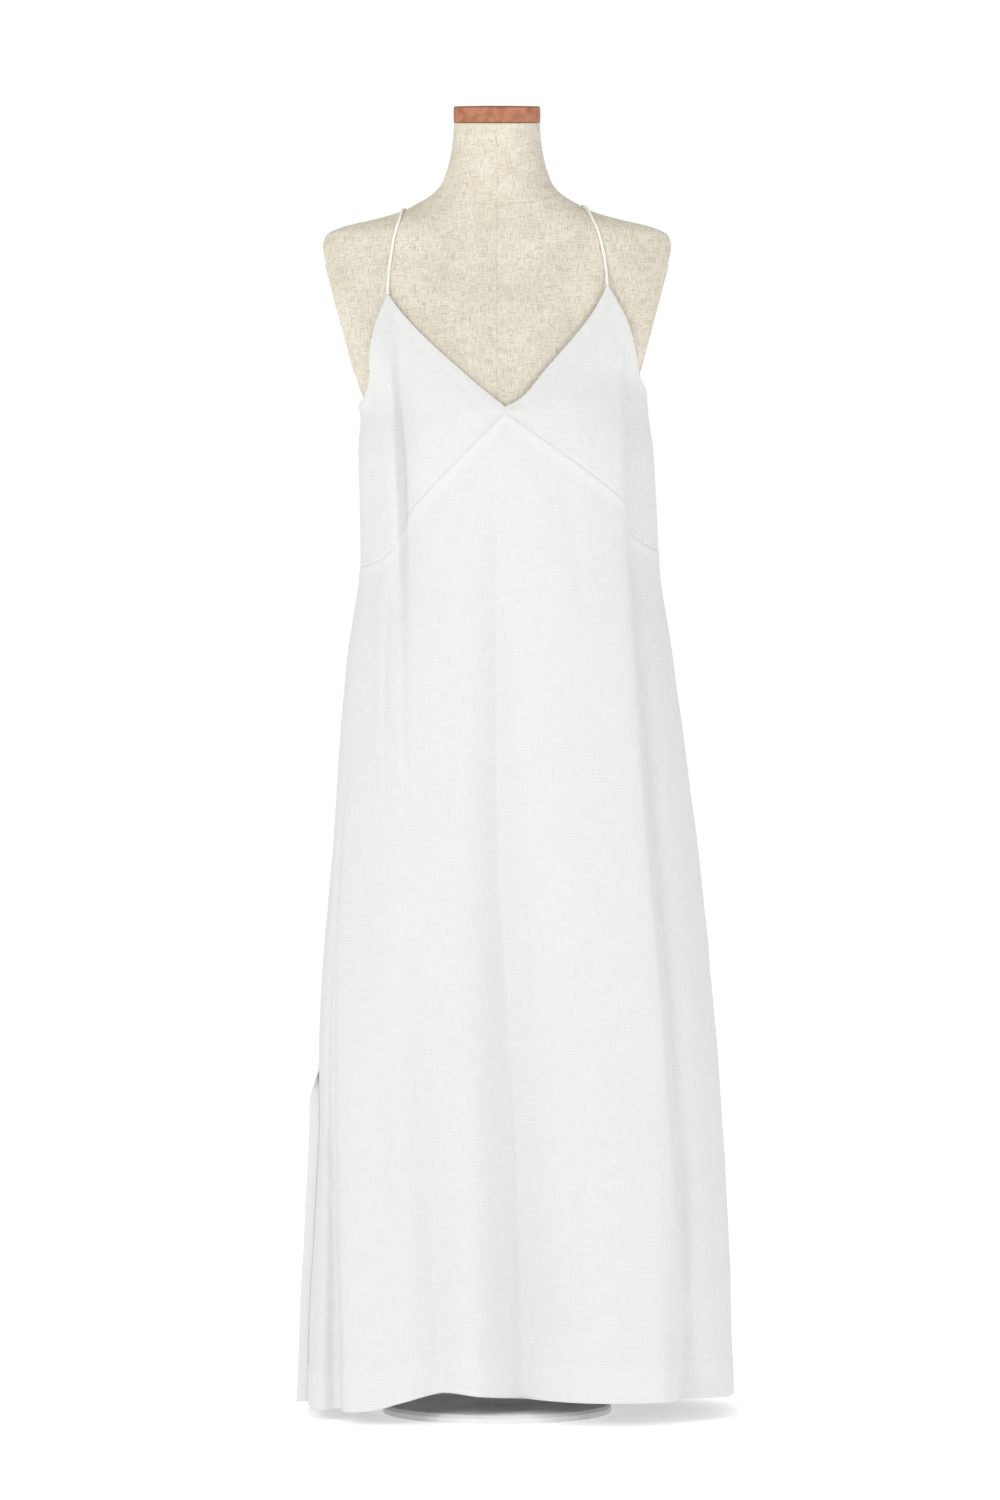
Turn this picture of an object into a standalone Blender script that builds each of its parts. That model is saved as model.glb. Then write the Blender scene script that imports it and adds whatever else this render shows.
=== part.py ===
"""White linen slip sundress on a limbless dress form, modelled as closed solids.

Metres, +Z up. The front faces -Y and the stand's foot rests on z = 0, the pole on the Z axis.
Left and right are as seen from the front. Form and dress are both stacks of rounded sections: a
section is a superellipse with its own width, front and back depth, and a smooth curve joins the
sections of a table from bottom to top. The long folds of the skirt are troughs and ridges laid on
the dress sections, each a row of the fold table.
"""

import math
from typing import NamedTuple

import bpy
import numpy as np

# Driving dimensions
CLOTH = 0.0016
SEAM_GAP = 0.0003
STRAP_RADIUS = 0.0016
STRAP_CLEARANCE = 0.0009
STRAP_STEP = 0.012
TORSO_BOTTOM = 0.530
NECK_TOP = 1.3505
NECK_TILT = 0.11
TILT_FROM = 1.290
CAP_HEIGHT = 0.0175
CAP_OVERHANG = 0.0006
CAP_ROUNDING = 0.0012
POLE_RADIUS = 0.015
BASE_RADIUS = 0.120
BASE_EDGE = 0.006
BASE_HEIGHT = 0.010
BOSS_RADIUS = 0.026
BOSS_HEIGHT = 0.024

# Armhole plates of the form: an oval disc on a flat that leans outwards towards the shoulder
PLATE_CENTRE = 1.150
PLATE_X = 0.1653
PLATE_SLOPE = 0.266
PLATE_HALF_LENGTH = 0.064
PLATE_HALF_DEPTH = 0.046
PLATE_THICKNESS = 0.0042
PLATE_BEVEL = 0.0012
FLAT_LOW = 1.074
FLAT_HIGH = 1.226
FLAT_RAMP = 0.012

# Slit at the foot of the left side seam
SLIT_TOP = 0.358
SLIT_RAMP = 0.060
SLIT_KICK = 0.0115
SLIT_KICK_SHARE = 0.22

# Mesh densities
FORM_AROUND = 36
PLATE_AROUND = 32
POLE_AROUND = 24
BASE_AROUND = 48
ARMHOLE_COLUMNS = 13
NECKLINE_COLUMNS = 14
BACK_COLUMNS = 40
SKIRT_ROWS = 18
CUP_ROWS = 8


class FormSection(NamedTuple):
    """One level section of the dress form, the same on both sides of x = 0."""

    height: float
    half_width: float
    middle: float
    front: float
    back: float
    squareness: float


FORM_SECTIONS = (
    FormSection(0.530, 0.1480, 0.004, -0.094, 0.108, 2.3),
    FormSection(0.600, 0.1560, 0.006, -0.101, 0.120, 2.3),
    FormSection(0.680, 0.1500, 0.006, -0.099, 0.114, 2.3),
    FormSection(0.780, 0.1290, 0.000, -0.089, 0.088, 2.3),
    FormSection(0.840, 0.1170, -0.004, -0.084, 0.073, 2.3),
    FormSection(0.910, 0.1230, -0.006, -0.093, 0.080, 2.3),
    FormSection(0.966, 0.1310, -0.008, -0.107, 0.090, 2.3),
    FormSection(1.026, 0.1370, -0.008, -0.127, 0.097, 2.3),
    FormSection(1.060, 0.1385, -0.006, -0.122, 0.099, 2.3),
    FormSection(1.080, 0.1480, -0.004, -0.116, 0.100, 2.3),
    FormSection(1.105, 0.1670, -0.002, -0.107, 0.100, 2.3),
    FormSection(1.140, 0.1860, 0.000, -0.094, 0.098, 2.2),
    FormSection(1.180, 0.1920, 0.002, -0.079, 0.092, 2.1),
    FormSection(1.210, 0.1875, 0.004, -0.068, 0.085, 2.0),
    FormSection(1.229, 0.1825, 0.005, -0.062, 0.078, 2.0),
    FormSection(1.237, 0.1770, 0.005, -0.059, 0.074, 2.0),
    FormSection(1.2435, 0.1610, 0.005, -0.057, 0.071, 2.0),
    FormSection(1.2515, 0.1270, 0.005, -0.055, 0.068, 2.0),
    FormSection(1.260, 0.0985, 0.004, -0.053, 0.064, 2.0),
    FormSection(1.267, 0.0850, 0.003, -0.052, 0.060, 2.0),
    FormSection(1.275, 0.0710, 0.001, -0.051, 0.056, 2.0),
    FormSection(1.284, 0.0610, -0.001, -0.051, 0.052, 2.0),
    FormSection(1.298, 0.0540, -0.004, -0.051, 0.046, 2.0),
    FormSection(1.320, 0.0480, -0.008, -0.052, 0.039, 2.0),
    FormSection(1.3505, 0.0446, -0.013, -0.055, 0.031, 2.0),
)


TORSO_LEVELS = (TORSO_BOTTOM, 0.560, 0.600, 0.650, 0.710, 0.770, 0.820, 0.860, 0.910, 0.960)
CHEST_LEVELS = (1.000, 1.030, 1.056, 1.074, 1.086, 1.110, 1.140, 1.170, 1.195, 1.214, 1.2255)
NECK_LEVELS = (1.230, 1.237, 1.243, 1.248, 1.253, 1.258, 1.263, 1.269, 1.276, 1.285, 1.300, 1.324)


class DressSection(NamedTuple):
    """One level section of the dress, with its two side seams and its front and back faces."""

    height: float
    left: float
    right: float
    seam: float
    front: float
    back: float
    squareness: float


DRESS_SECTIONS = (
    DressSection(0.000, -0.1990, 0.2487, 0.000, -0.150, 0.152, 2.9),
    DressSection(0.100, -0.1955, 0.2460, 0.000, -0.149, 0.150, 2.9),
    DressSection(0.200, -0.1900, 0.2415, 0.000, -0.147, 0.148, 2.9),
    DressSection(0.300, -0.1855, 0.2360, 0.000, -0.146, 0.146, 2.8),
    DressSection(0.400, -0.1855, 0.2290, 0.000, -0.144, 0.144, 2.7),
    DressSection(0.500, -0.1795, 0.2200, 0.000, -0.142, 0.141, 2.6),
    DressSection(0.600, -0.1710, 0.2085, 0.000, -0.141, 0.138, 2.5),
    DressSection(0.700, -0.1640, 0.1965, 0.000, -0.140, 0.134, 2.4),
    DressSection(0.800, -0.1555, 0.1825, 0.000, -0.139, 0.128, 2.4),
    DressSection(0.885, -0.1435, 0.1700, 0.000, -0.138, 0.120, 2.4),
    DressSection(0.950, -0.1430, 0.1665, -0.002, -0.137, 0.114, 2.4),
    DressSection(1.010, -0.1445, 0.1630, -0.004, -0.135, 0.109, 2.4),
    DressSection(1.050, -0.1435, 0.1580, -0.005, -0.130, 0.107, 2.3),
    DressSection(1.080, -0.1540, 0.1580, -0.004, -0.121, 0.107, 2.3),
    DressSection(1.105, -0.1715, 0.1715, -0.002, -0.112, 0.107, 2.3),
    DressSection(1.140, -0.1905, 0.1905, 0.000, -0.099, 0.105, 2.2),
    DressSection(1.180, -0.1965, 0.1965, 0.002, -0.084, 0.099, 2.1),
    DressSection(1.210, -0.1920, 0.1920, 0.004, -0.073, 0.092, 2.0),
)


class Fold(NamedTuple):
    """One long fold: its path from top to low in the front view, its lift and its two half widths.

    A positive lift is a ridge, a negative one a trough. The path is straight but for its bow.
    """

    top: float
    top_x: float
    low: float
    low_x: float
    bow: float
    top_lift: float
    low_lift: float
    left_width: float
    right_width: float


FRONT_FOLDS = (
    Fold(1.100, 0.129, -0.100, 0.208, -0.006, 0.0030, 0.0060, 0.030, 0.012),
    Fold(1.100, 0.143, -0.100, 0.223, -0.006, -0.0050, -0.0090, 0.009, 0.017),
    Fold(1.135, -0.106, -0.100, -0.052, -0.022, -0.0014, -0.0090, 0.016, 0.014),
    Fold(1.010, 0.000, -0.100, 0.019, -0.017, -0.0020, -0.0160, 0.022, 0.014),
    Fold(0.960, -0.034, -0.100, -0.030, -0.006, 0.0015, 0.0050, 0.022, 0.016),
    Fold(0.700, -0.150, -0.100, -0.155, -0.006, 0.0030, 0.0070, 0.012, 0.022),
    Fold(0.700, -0.163, -0.100, -0.174, -0.004, -0.0030, -0.0070, 0.014, 0.010),
    Fold(0.600, 0.095, -0.100, 0.110, 0.000, 0.0010, 0.0050, 0.035, 0.035),
)

BACK_FOLDS = (
    Fold(1.020, -0.074, -0.100, -0.094, 0.006, -0.0030, -0.0120, 0.018, 0.024),
    Fold(0.960, 0.040, -0.100, 0.052, -0.010, -0.0020, -0.0140, 0.016, 0.022),
    Fold(0.900, -0.020, -0.100, -0.022, 0.006, 0.0015, 0.0060, 0.026, 0.026),
    Fold(1.020, 0.118, -0.100, 0.168, -0.004, 0.0020, 0.0060, 0.024, 0.014),
    Fold(1.020, 0.134, -0.100, 0.188, -0.004, -0.0030, -0.0080, 0.010, 0.018),
    Fold(0.850, -0.120, -0.100, -0.142, 0.000, 0.0020, 0.0060, 0.018, 0.024),
)
FOLD_FADE = 0.070


class EdgePoint(NamedTuple):
    """A point of a hem or top edge in the front view: its x and its height."""

    x: float
    height: float


FRONT_HEM = (
    EdgePoint(-0.199, 0.0120),
    EdgePoint(-0.180, 0.0115),
    EdgePoint(-0.154, 0.0131),
    EdgePoint(-0.126, 0.0161),
    EdgePoint(-0.100, 0.0240),
    EdgePoint(-0.058, 0.0377),
    EdgePoint(-0.016, 0.0315),
    EdgePoint(0.067, 0.0274),
    EdgePoint(0.150, 0.0255),
    EdgePoint(0.200, 0.0250),
    EdgePoint(0.2487, 0.0190),
)

BACK_HEM = (
    EdgePoint(-0.199, 0.0105),
    EdgePoint(-0.100, 0.0200),
    EdgePoint(0.000, 0.0250),
    EdgePoint(0.120, 0.0230),
    EdgePoint(0.2487, 0.0190),
)

# Neckline and armholes
V_POINT = EdgePoint(0.0082, 1.0465)
SEAM_POINT = 1.0405


class CupSide(NamedTuple):
    """One cup: its apex, the bows of its two top edges, its underarm height and its empire seam.

    Away from the middle the seam falls with a slope, drops by a step where the long fold crosses
    it, and eases into a level run at the side height.
    """

    apex_x: float
    apex_height: float
    neck_bow: float
    armhole_power: float
    underarm: float
    side_height: float
    slope: float
    step: float
    step_place: float


LEFT_CUP = CupSide(-0.1133, 1.1670, 0.36, 3.1, 1.055, 0.8830, 1.52, 0.14, 0.46)
RIGHT_CUP = CupSide(0.1145, 1.1770, 0.80, 2.6, 1.070, 0.9000, 1.26, 0.18, 0.55)
STEP_WIDTH = 0.10
SEAM_EASE = 0.07
BACK_DIP = 0.012


class StrapGuide(NamedTuple):
    """A point that a strap passes, as x and height, on the front (-1), ridge (0) or back (1)."""

    x: float
    height: float
    side: int


LEFT_STRAP = (
    StrapGuide(-0.1125, 1.1850, -1),
    StrapGuide(-0.1100, 1.2070, -1),
    StrapGuide(-0.1065, 1.2290, -1),
    StrapGuide(-0.1020, 1.2450, -1),
    StrapGuide(-0.0965, 1.2610, 0),
    StrapGuide(-0.0900, 1.2480, 1),
    StrapGuide(-0.0760, 1.2300, 1),
    StrapGuide(-0.0500, 1.1990, 1),
    StrapGuide(-0.0240, 1.1680, 1),
    StrapGuide(0.0000, 1.1400, 1),
    StrapGuide(0.0240, 1.1120, 1),
)

RIGHT_STRAP = (
    StrapGuide(0.1130, 1.1940, -1),
    StrapGuide(0.1095, 1.2160, -1),
    StrapGuide(0.1050, 1.2340, -1),
    StrapGuide(0.0985, 1.2490, -1),
    StrapGuide(0.0900, 1.2645, 0),
    StrapGuide(0.0830, 1.2510, 1),
    StrapGuide(0.0700, 1.2330, 1),
    StrapGuide(0.0470, 1.2010, 1),
    StrapGuide(0.0230, 1.1690, 1),
    StrapGuide(0.0000, 1.1400, 1),
    StrapGuide(-0.0240, 1.1110, 1),
)
STRAP_END_X = 0.0480
STRAP_END_GAP = 0.0014
SHOULDER_FACING = (0.45, 0.89)
CROSSING_LIFT = 0.0042
CROSSING_WIDTH = 0.016


def smooth(value):
    """A ramp from 0 to 1 that leaves and arrives level."""
    t = np.clip(value, 0.0, 1.0)
    return t * t * (3.0 - 2.0 * t)


def through(places, values, at):
    """A smooth curve through a table's points: cubic pieces whose slopes are the neighbours' mean."""
    places = np.asarray(places, float)
    values = np.asarray(values, float)
    steps = np.diff(places)
    slopes = np.diff(values) / steps
    inner = (slopes[:-1] * steps[1:] + slopes[1:] * steps[:-1]) / (steps[:-1] + steps[1:])
    tangents = np.concatenate([slopes[:1], inner, slopes[-1:]])
    at = np.clip(at, places[0], places[-1])
    i = np.clip(np.searchsorted(places, at, side="right") - 1, 0, len(steps) - 1)
    t = (at - places[i]) / steps[i]
    return (
        (1.0 + 2.0 * t) * (1.0 - t) ** 2 * values[i]
        + t * (1.0 - t) ** 2 * steps[i] * tangents[i]
        + t * t * (3.0 - 2.0 * t) * values[i + 1]
        - t * t * (1.0 - t) * steps[i] * tangents[i + 1]
    )


def column(table, name, height):
    """One column of a section table, read at any height."""
    return through([row.height for row in table], [getattr(row, name) for row in table], height)


def corner_scale(across, along, squareness):
    """How far a superellipse stands out from the ellipse in the direction (across, along)."""
    return (np.abs(across) ** squareness + np.abs(along) ** squareness) ** (-1.0 / squareness)


# Dress form


def plate_plane(height):
    """How far out the outer face of an armhole plate lies at a height."""
    return PLATE_X + PLATE_SLOPE * (height - PLATE_CENTRE)


def form_point(turn, height):
    """A point of the form's surface: turn goes from 0 at the right side, over the front, to 1."""
    angle = 2.0 * math.pi * np.asarray(turn, float)
    height = np.asarray(height, float)
    across = np.cos(angle)
    along = np.sin(angle)
    squareness = column(FORM_SECTIONS, "squareness", height)
    middle = column(FORM_SECTIONS, "middle", height)
    front = middle - column(FORM_SECTIONS, "front", height)
    back = column(FORM_SECTIONS, "back", height) - middle
    scale = corner_scale(across, along, squareness)
    x = column(FORM_SECTIONS, "half_width", height) * across * scale
    y = middle - np.where(along > 0.0, front, back) * along * scale
    inset = smooth((height - FLAT_LOW) / FLAT_RAMP) * smooth((FLAT_HIGH - height) / FLAT_RAMP)
    limit = plate_plane(height) - PLATE_THICKNESS * inset
    x = np.where(height < FLAT_HIGH, np.clip(x, -limit, limit), x)
    lean = NECK_TILT * smooth((height - TILT_FROM) / (NECK_TOP - TILT_FROM))
    return np.stack([x, y, height + lean * (y - middle)], axis=-1)


def form_surface(x, height, side, clearance):
    """The point over (x, height) on the form's front or back, moved out by a clearance."""

    def at(x, height):
        """The surface point itself."""
        half_width = column(FORM_SECTIONS, "half_width", height)
        squareness = column(FORM_SECTIONS, "squareness", height)
        middle = column(FORM_SECTIONS, "middle", height)
        face = column(FORM_SECTIONS, "back" if side > 0 else "front", height)
        share = max(0.0, 1.0 - abs(x / half_width) ** squareness) ** (1.0 / squareness)
        return np.array([x, middle + (face - middle) * share, height])

    if side == 0:
        ridge = np.array([x, column(FORM_SECTIONS, "middle", height), height])
        outward, upward = SHOULDER_FACING
        return ridge + clearance * np.array([math.copysign(outward, x), 0.0, upward])
    small = 0.0005
    inward = math.copysign(small, x) if x else small
    here = at(x, height)
    slope_x = (here - at(x - inward, height)) / inward
    slope_z = (at(x, height - small) - here) / -small
    normal = np.cross(slope_x, slope_z)
    normal *= side * math.copysign(1.0, normal[1]) / np.linalg.norm(normal)
    return here + clearance * normal


# Dress


def dress_size(height, side):
    """Middle x, half width, depth of the front (-1) or back (1), seam y and squareness."""
    left = column(DRESS_SECTIONS, "left", height)
    right = column(DRESS_SECTIONS, "right", height)
    seam = column(DRESS_SECTIONS, "seam", height)
    depth = side * (column(DRESS_SECTIONS, "back" if side > 0 else "front", height) - seam)
    squareness = column(DRESS_SECTIONS, "squareness", height)
    return (left + right) / 2.0, (right - left) / 2.0, depth, seam, squareness


def share_at(x, height, side):
    """Where an x of the front view lies on a section: 0 is the left side seam, 1 the right one."""
    middle, half_width, _, _, squareness = dress_size(height, side)
    across = np.clip((x - middle) / half_width, -1.0, 1.0)
    along = (1.0 - np.abs(across) ** squareness) ** (1.0 / squareness)
    return 1.0 - np.arctan2(along, across) / math.pi


def fold_lift(folds, share, height, side):
    """How far the folds move the cloth out of its smooth section."""
    _, half_width, depth, _, _ = dress_size(height, side)
    half_girth = math.pi / 2.0 * (half_width + depth)
    lift = np.zeros_like(share)
    for fold in folds:
        down = np.clip((fold.top - height) / (fold.top - fold.low), 0.0, 1.0)
        x = fold.top_x + (fold.low_x - fold.top_x) * down + fold.bow * 4.0 * down * (1.0 - down)
        away = (share - share_at(x, height, side)) * half_girth
        width = np.where(away < 0.0, fold.left_width, fold.right_width)
        strength = fold.top_lift + (fold.low_lift - fold.top_lift) * down
        fade = smooth((fold.top - height) / FOLD_FADE) * smooth((height - fold.low) / FOLD_FADE)
        lift += strength * fade * np.exp(-((away / width) ** 2))
    return lift


def dress_point(share, height, side):
    """A point of the dress: share goes from the left seam to the right one, side is -1 or 1."""
    middle, half_width, depth, seam, squareness = dress_size(height, side)
    angle = math.pi * (1.0 - share)
    across = np.cos(angle)
    along = np.sin(angle)
    scale = corner_scale(across, along, squareness)
    out_x = np.sign(across) * np.abs(across) ** (squareness - 1.0) / half_width
    out_y = side * np.abs(along) ** (squareness - 1.0) / depth
    length = np.hypot(out_x, out_y)
    lift = fold_lift(FRONT_FOLDS if side < 0 else BACK_FOLDS, share, height, side)
    x = middle + half_width * across * scale + lift * out_x / length
    y = seam + side * depth * along * scale + lift * out_y / length
    if side > 0:
        x = x - SLIT_KICK * smooth((SLIT_TOP - height) / SLIT_RAMP) * np.exp(
            -((share / SLIT_KICK_SHARE) ** 2)
        )
    return np.stack([x, y, height], axis=-1)


def edge_height(points, share, side):
    """The height of a hem at a share of the way round."""
    shares = [float(share_at(p.x, p.height, side)) for p in points]
    return through(shares, [p.height for p in points], share)


def empire_seam(share):
    """The height of the seam between the cups and the skirt."""
    middle = float(share_at(V_POINT.x, SEAM_POINT, -1))
    left = share < middle
    away = np.where(left, (middle - share) / middle, (share - middle) / (1.0 - middle))

    def fall(cup):
        """The seam on one cup's side."""
        drop = cup.step * smooth((away - cup.step_place) / STEP_WIDTH + 0.5)
        line = 1.0 - cup.slope * away - drop
        eased = (line + np.sqrt(line * line + 4.0 * SEAM_EASE**2)) / 2.0
        return cup.side_height + (SEAM_POINT - cup.side_height) * np.minimum(eased, 1.0)

    return np.where(left, fall(LEFT_CUP), fall(RIGHT_CUP))


def back_top(share):
    """The height of the back's top edge, which dips a little between the side seams."""
    level = LEFT_CUP.underarm + (RIGHT_CUP.underarm - LEFT_CUP.underarm) * share
    return level - BACK_DIP * np.sin(math.pi * share)


def grid_faces(rows, columns):
    """The squares of a grid of points, row by row."""
    first = np.arange(rows * columns).reshape(rows, columns)
    corners = [first[:-1, :-1], first[:-1, 1:], first[1:, 1:], first[1:, :-1]]
    return np.stack([c.ravel() for c in corners], axis=1)


def panel_points(shares, edges, rows, side):
    """A grid of dress points between edges, given as heights at the shares, from low to high."""
    levels = [
        low + (high - low) * np.linspace(0.0, 1.0, count)[:, None]
        for low, high, count in zip(edges[:-1], edges[1:], rows)
    ]
    height = np.concatenate([levels[0]] + [level[1:] for level in levels[1:]])
    return dress_point(np.broadcast_to(shares, height.shape), height, side)


def cup_shares(cup):
    """The columns of one half of the front, from the side seam over the apex to the middle."""
    outer = SEAM_GAP if cup.apex_x < 0.0 else 1.0 - SEAM_GAP
    apex = float(share_at(cup.apex_x, cup.apex_height, -1))
    middle = float(share_at(V_POINT.x, V_POINT.height, -1))
    side = np.linspace(outer, apex, ARMHOLE_COLUMNS)
    return np.concatenate([side, np.linspace(apex, middle, NECKLINE_COLUMNS)[1:]])


def skirt_front_points():
    """The front panel from the hem to the empire seam, with the columns of both cups."""
    shares = np.concatenate([cup_shares(LEFT_CUP), cup_shares(RIGHT_CUP)[-2::-1]])
    edges = [edge_height(FRONT_HEM, shares, -1), empire_seam(shares) - SEAM_GAP / 2.0]
    return panel_points(shares, edges, [SKIRT_ROWS], -1)


def back_points():
    """The back panel from the hem to its top edge, with the rows of the front at the side seams."""
    shares = np.linspace(SEAM_GAP, 1.0 - SEAM_GAP, BACK_COLUMNS)
    waist = LEFT_CUP.side_height + (RIGHT_CUP.side_height - LEFT_CUP.side_height) * shares
    edges = [edge_height(BACK_HEM, shares, 1), waist, back_top(shares)]
    return panel_points(shares, edges, [SKIRT_ROWS, CUP_ROWS], 1)


def cup_points(cup):
    """A cup, column by column from the side seam to the middle of the neckline."""
    shares = cup_shares(cup)
    outer, apex, middle = shares[0], shares[ARMHOLE_COLUMNS - 1], shares[-1]
    reach = np.clip((shares - outer) / (apex - outer), 0.0, 1.0)
    armhole = cup.underarm + (cup.apex_height - cup.underarm) * reach**cup.armhole_power
    across = np.clip((shares - apex) / (middle - apex), 0.0, 1.0)
    fall = across + cup.neck_bow * across * (1.0 - across)
    neckline = cup.apex_height - (cup.apex_height - V_POINT.height) * fall
    high = np.where(across > 0.0, neckline, armhole)
    low = empire_seam(shares) + SEAM_GAP / 2.0
    shares[-1] += math.copysign(SEAM_GAP, cup.apex_x)
    return panel_points(shares, [low, high], [CUP_ROWS], -1)


# Objects


def clear_scene():
    """Removes every object, so that the file holds only this model."""
    for thing in list(bpy.data.objects):
        bpy.data.objects.remove(thing, do_unlink=True)


def finish_material(name, colour, roughness):
    """A plain Principled material."""
    made = bpy.data.materials.new(name)
    made.use_nodes = True
    shader = made.node_tree.nodes["Principled BSDF"]
    shader.inputs["Base Color"].default_value = (*colour, 1.0)
    shader.inputs["Roughness"].default_value = roughness
    return made


def place(name, mesh, finish, collection):
    """A named object for a mesh, smooth shaded, with its own material."""
    made = bpy.data.objects.new(name, mesh)
    mesh.materials.append(finish)
    mesh.shade_smooth()
    collection.objects.link(made)
    return made


def adopt(name, finish, collection):
    """Names the object just added, smooths it and moves it into the model's collection."""
    made = bpy.context.object
    made.name = name
    made.data.materials.append(finish)
    made.data.shade_smooth()
    for holder in list(made.users_collection):
        holder.objects.unlink(made)
    collection.objects.link(made)
    return made


def round_edges(made, width):
    """Rounds the rims of a disc."""
    rounding = made.modifiers.new("edge", "BEVEL")
    rounding.width = width
    rounding.segments = 2


def mesh_of(name, points, faces):
    """A mesh from points and faces."""
    made = bpy.data.meshes.new(name)
    made.from_pydata([tuple(p) for p in points.reshape(-1, 3)], [], [tuple(f) for f in faces])
    return made


def cloth_panel(name, points, outwards, finish, collection):
    """A cloth wall: the grid of points, faced outwards, given its thickness on both sides."""
    rows, columns = points.shape[:2]
    faces = grid_faces(rows, columns)
    made = place(name, mesh_of(name, points, faces if outwards else faces[:, ::-1]), finish, collection)
    wall = made.modifiers.new("cloth", "SOLIDIFY")
    wall.thickness = CLOTH
    wall.offset = 0.0


def torso(finish, collection):
    """The form from its flat underside to the top of its neck: rings of section points, capped."""
    heights = np.array(TORSO_LEVELS + CHEST_LEVELS + NECK_LEVELS + (NECK_TOP,))
    turns = np.arange(FORM_AROUND) / FORM_AROUND
    points = form_point(turns[None, :], heights[:, None])
    rows = len(heights)
    index = np.arange(rows * FORM_AROUND).reshape(rows, FORM_AROUND)
    following = np.roll(index, -1, axis=1)
    sides = np.stack([index[:-1], index[1:], following[1:], following[:-1]], axis=-1).reshape(-1, 4)
    faces = [tuple(f) for f in sides] + [tuple(index[0]), tuple(index[-1][::-1])]
    place("form_torso", mesh_of("form_torso", points, faces), finish, collection)


def neck_cap(finish, collection):
    """The cap on the neck: the neck's top outline made a disc, tilted forward with the neck."""
    top = FORM_SECTIONS[-1]
    bpy.ops.mesh.primitive_cylinder_add(vertices=FORM_AROUND, radius=1.0, depth=1.0)
    made = adopt("neck_cap", finish, collection)
    made.scale = (
        top.half_width + CAP_OVERHANG,
        (top.back - top.front) / 2.0 + CAP_OVERHANG,
        CAP_HEIGHT,
    )
    bpy.ops.object.transform_apply(location=False, rotation=False, scale=True)
    made.rotation_euler = (math.atan(NECK_TILT), 0.0, 0.0)
    centre = (top.front + top.back) / 2.0
    rise = NECK_TILT * (centre - top.middle)
    made.location = (0.0, centre, NECK_TOP + rise + SEAM_GAP + CAP_HEIGHT / 2.0)
    round_edges(made, CAP_ROUNDING)


def arm_plate(name, side, finish, collection):
    """The oval disc that closes an armhole of the form."""
    bpy.ops.mesh.primitive_cylinder_add(vertices=PLATE_AROUND, radius=1.0, depth=1.0)
    made = adopt(name, finish, collection)
    thickness = PLATE_THICKNESS - SEAM_GAP
    made.scale = (PLATE_HALF_LENGTH, PLATE_HALF_DEPTH, thickness)
    bpy.ops.object.transform_apply(location=False, rotation=False, scale=True)
    lean = math.atan(PLATE_SLOPE)
    made.rotation_euler = (0.0, side * (math.pi / 2.0 + lean), 0.0)
    inward = thickness / 2.0
    made.location = (
        side * (PLATE_X - inward * math.cos(lean)),
        0.0,
        PLATE_CENTRE + inward * math.sin(lean),
    )
    round_edges(made, PLATE_BEVEL)


def stand_base(finish, collection):
    """The round foot: a turned profile with a rounded edge and a boss for the pole."""
    profile = [
        (0.0, BOSS_HEIGHT),
        (BOSS_RADIUS * 0.72, BOSS_HEIGHT),
        (BOSS_RADIUS * 0.80, BOSS_HEIGHT * 0.60),
        (BOSS_RADIUS, BOSS_HEIGHT * 0.46),
        (BASE_RADIUS - BASE_EDGE, BASE_HEIGHT),
        (BASE_RADIUS - BASE_EDGE * 0.35, BASE_HEIGHT - BASE_EDGE * 0.2),
        (BASE_RADIUS, BASE_HEIGHT - BASE_EDGE * 0.75),
        (BASE_RADIUS, 0.0),
        (0.0, 0.0),
    ]
    mesh = bpy.data.meshes.new("stand_base")
    points = [(x, 0.0, z) for x, z in profile]
    mesh.from_pydata(points, [(i, i + 1) for i in range(len(points) - 1)], [])
    made = place("stand_base", mesh, finish, collection)
    turn = made.modifiers.new("turn", "SCREW")
    turn.steps = BASE_AROUND
    turn.render_steps = BASE_AROUND
    turn.use_merge_vertices = True
    turn.merge_threshold = 0.00005


def stand_pole(finish, collection):
    """The pole between the foot's boss and the underside of the torso."""
    low = BOSS_HEIGHT + SEAM_GAP
    high = TORSO_BOTTOM - SEAM_GAP
    bpy.ops.mesh.primitive_cylinder_add(
        vertices=POLE_AROUND,
        radius=POLE_RADIUS,
        depth=high - low,
        location=(0.0, 0.0, (low + high) / 2.0),
    )
    adopt("stand_pole", finish, collection)


def strap_path(guides, cup, over):
    """The strap's centreline: from the cup's apex over the shoulder to the far side of the back."""
    off = STRAP_RADIUS + STRAP_CLEARANCE
    apex_share = float(share_at(cup.apex_x, cup.apex_height, -1))
    apex = dress_point(np.array(apex_share), np.array(cup.apex_height), -1)
    points = [apex + np.array([0.0, 0.0, STRAP_END_GAP])]
    for guide in guides:
        lift = CROSSING_LIFT * math.exp(-((guide.x / CROSSING_WIDTH) ** 2)) if over else 0.0
        back_lift = lift if guide.side > 0 else 0.0
        points.append(form_surface(guide.x, guide.height, guide.side, off + back_lift))
    end_x = -math.copysign(STRAP_END_X, cup.apex_x)
    top = float(back_top(share_at(end_x, LEFT_CUP.underarm, 1)))
    end = dress_point(np.array(float(share_at(end_x, top, 1))), np.array(top), 1)
    points.append(end + np.array([0.0, 0.0, STRAP_END_GAP]))
    points = np.array(points)
    along = np.concatenate([[0.0], np.cumsum(np.linalg.norm(np.diff(points, axis=0), axis=1))])
    at = np.linspace(0.0, along[-1], int(along[-1] / STRAP_STEP) + 1)
    return np.stack([through(along, points[:, k], at) for k in range(3)], axis=1)


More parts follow.
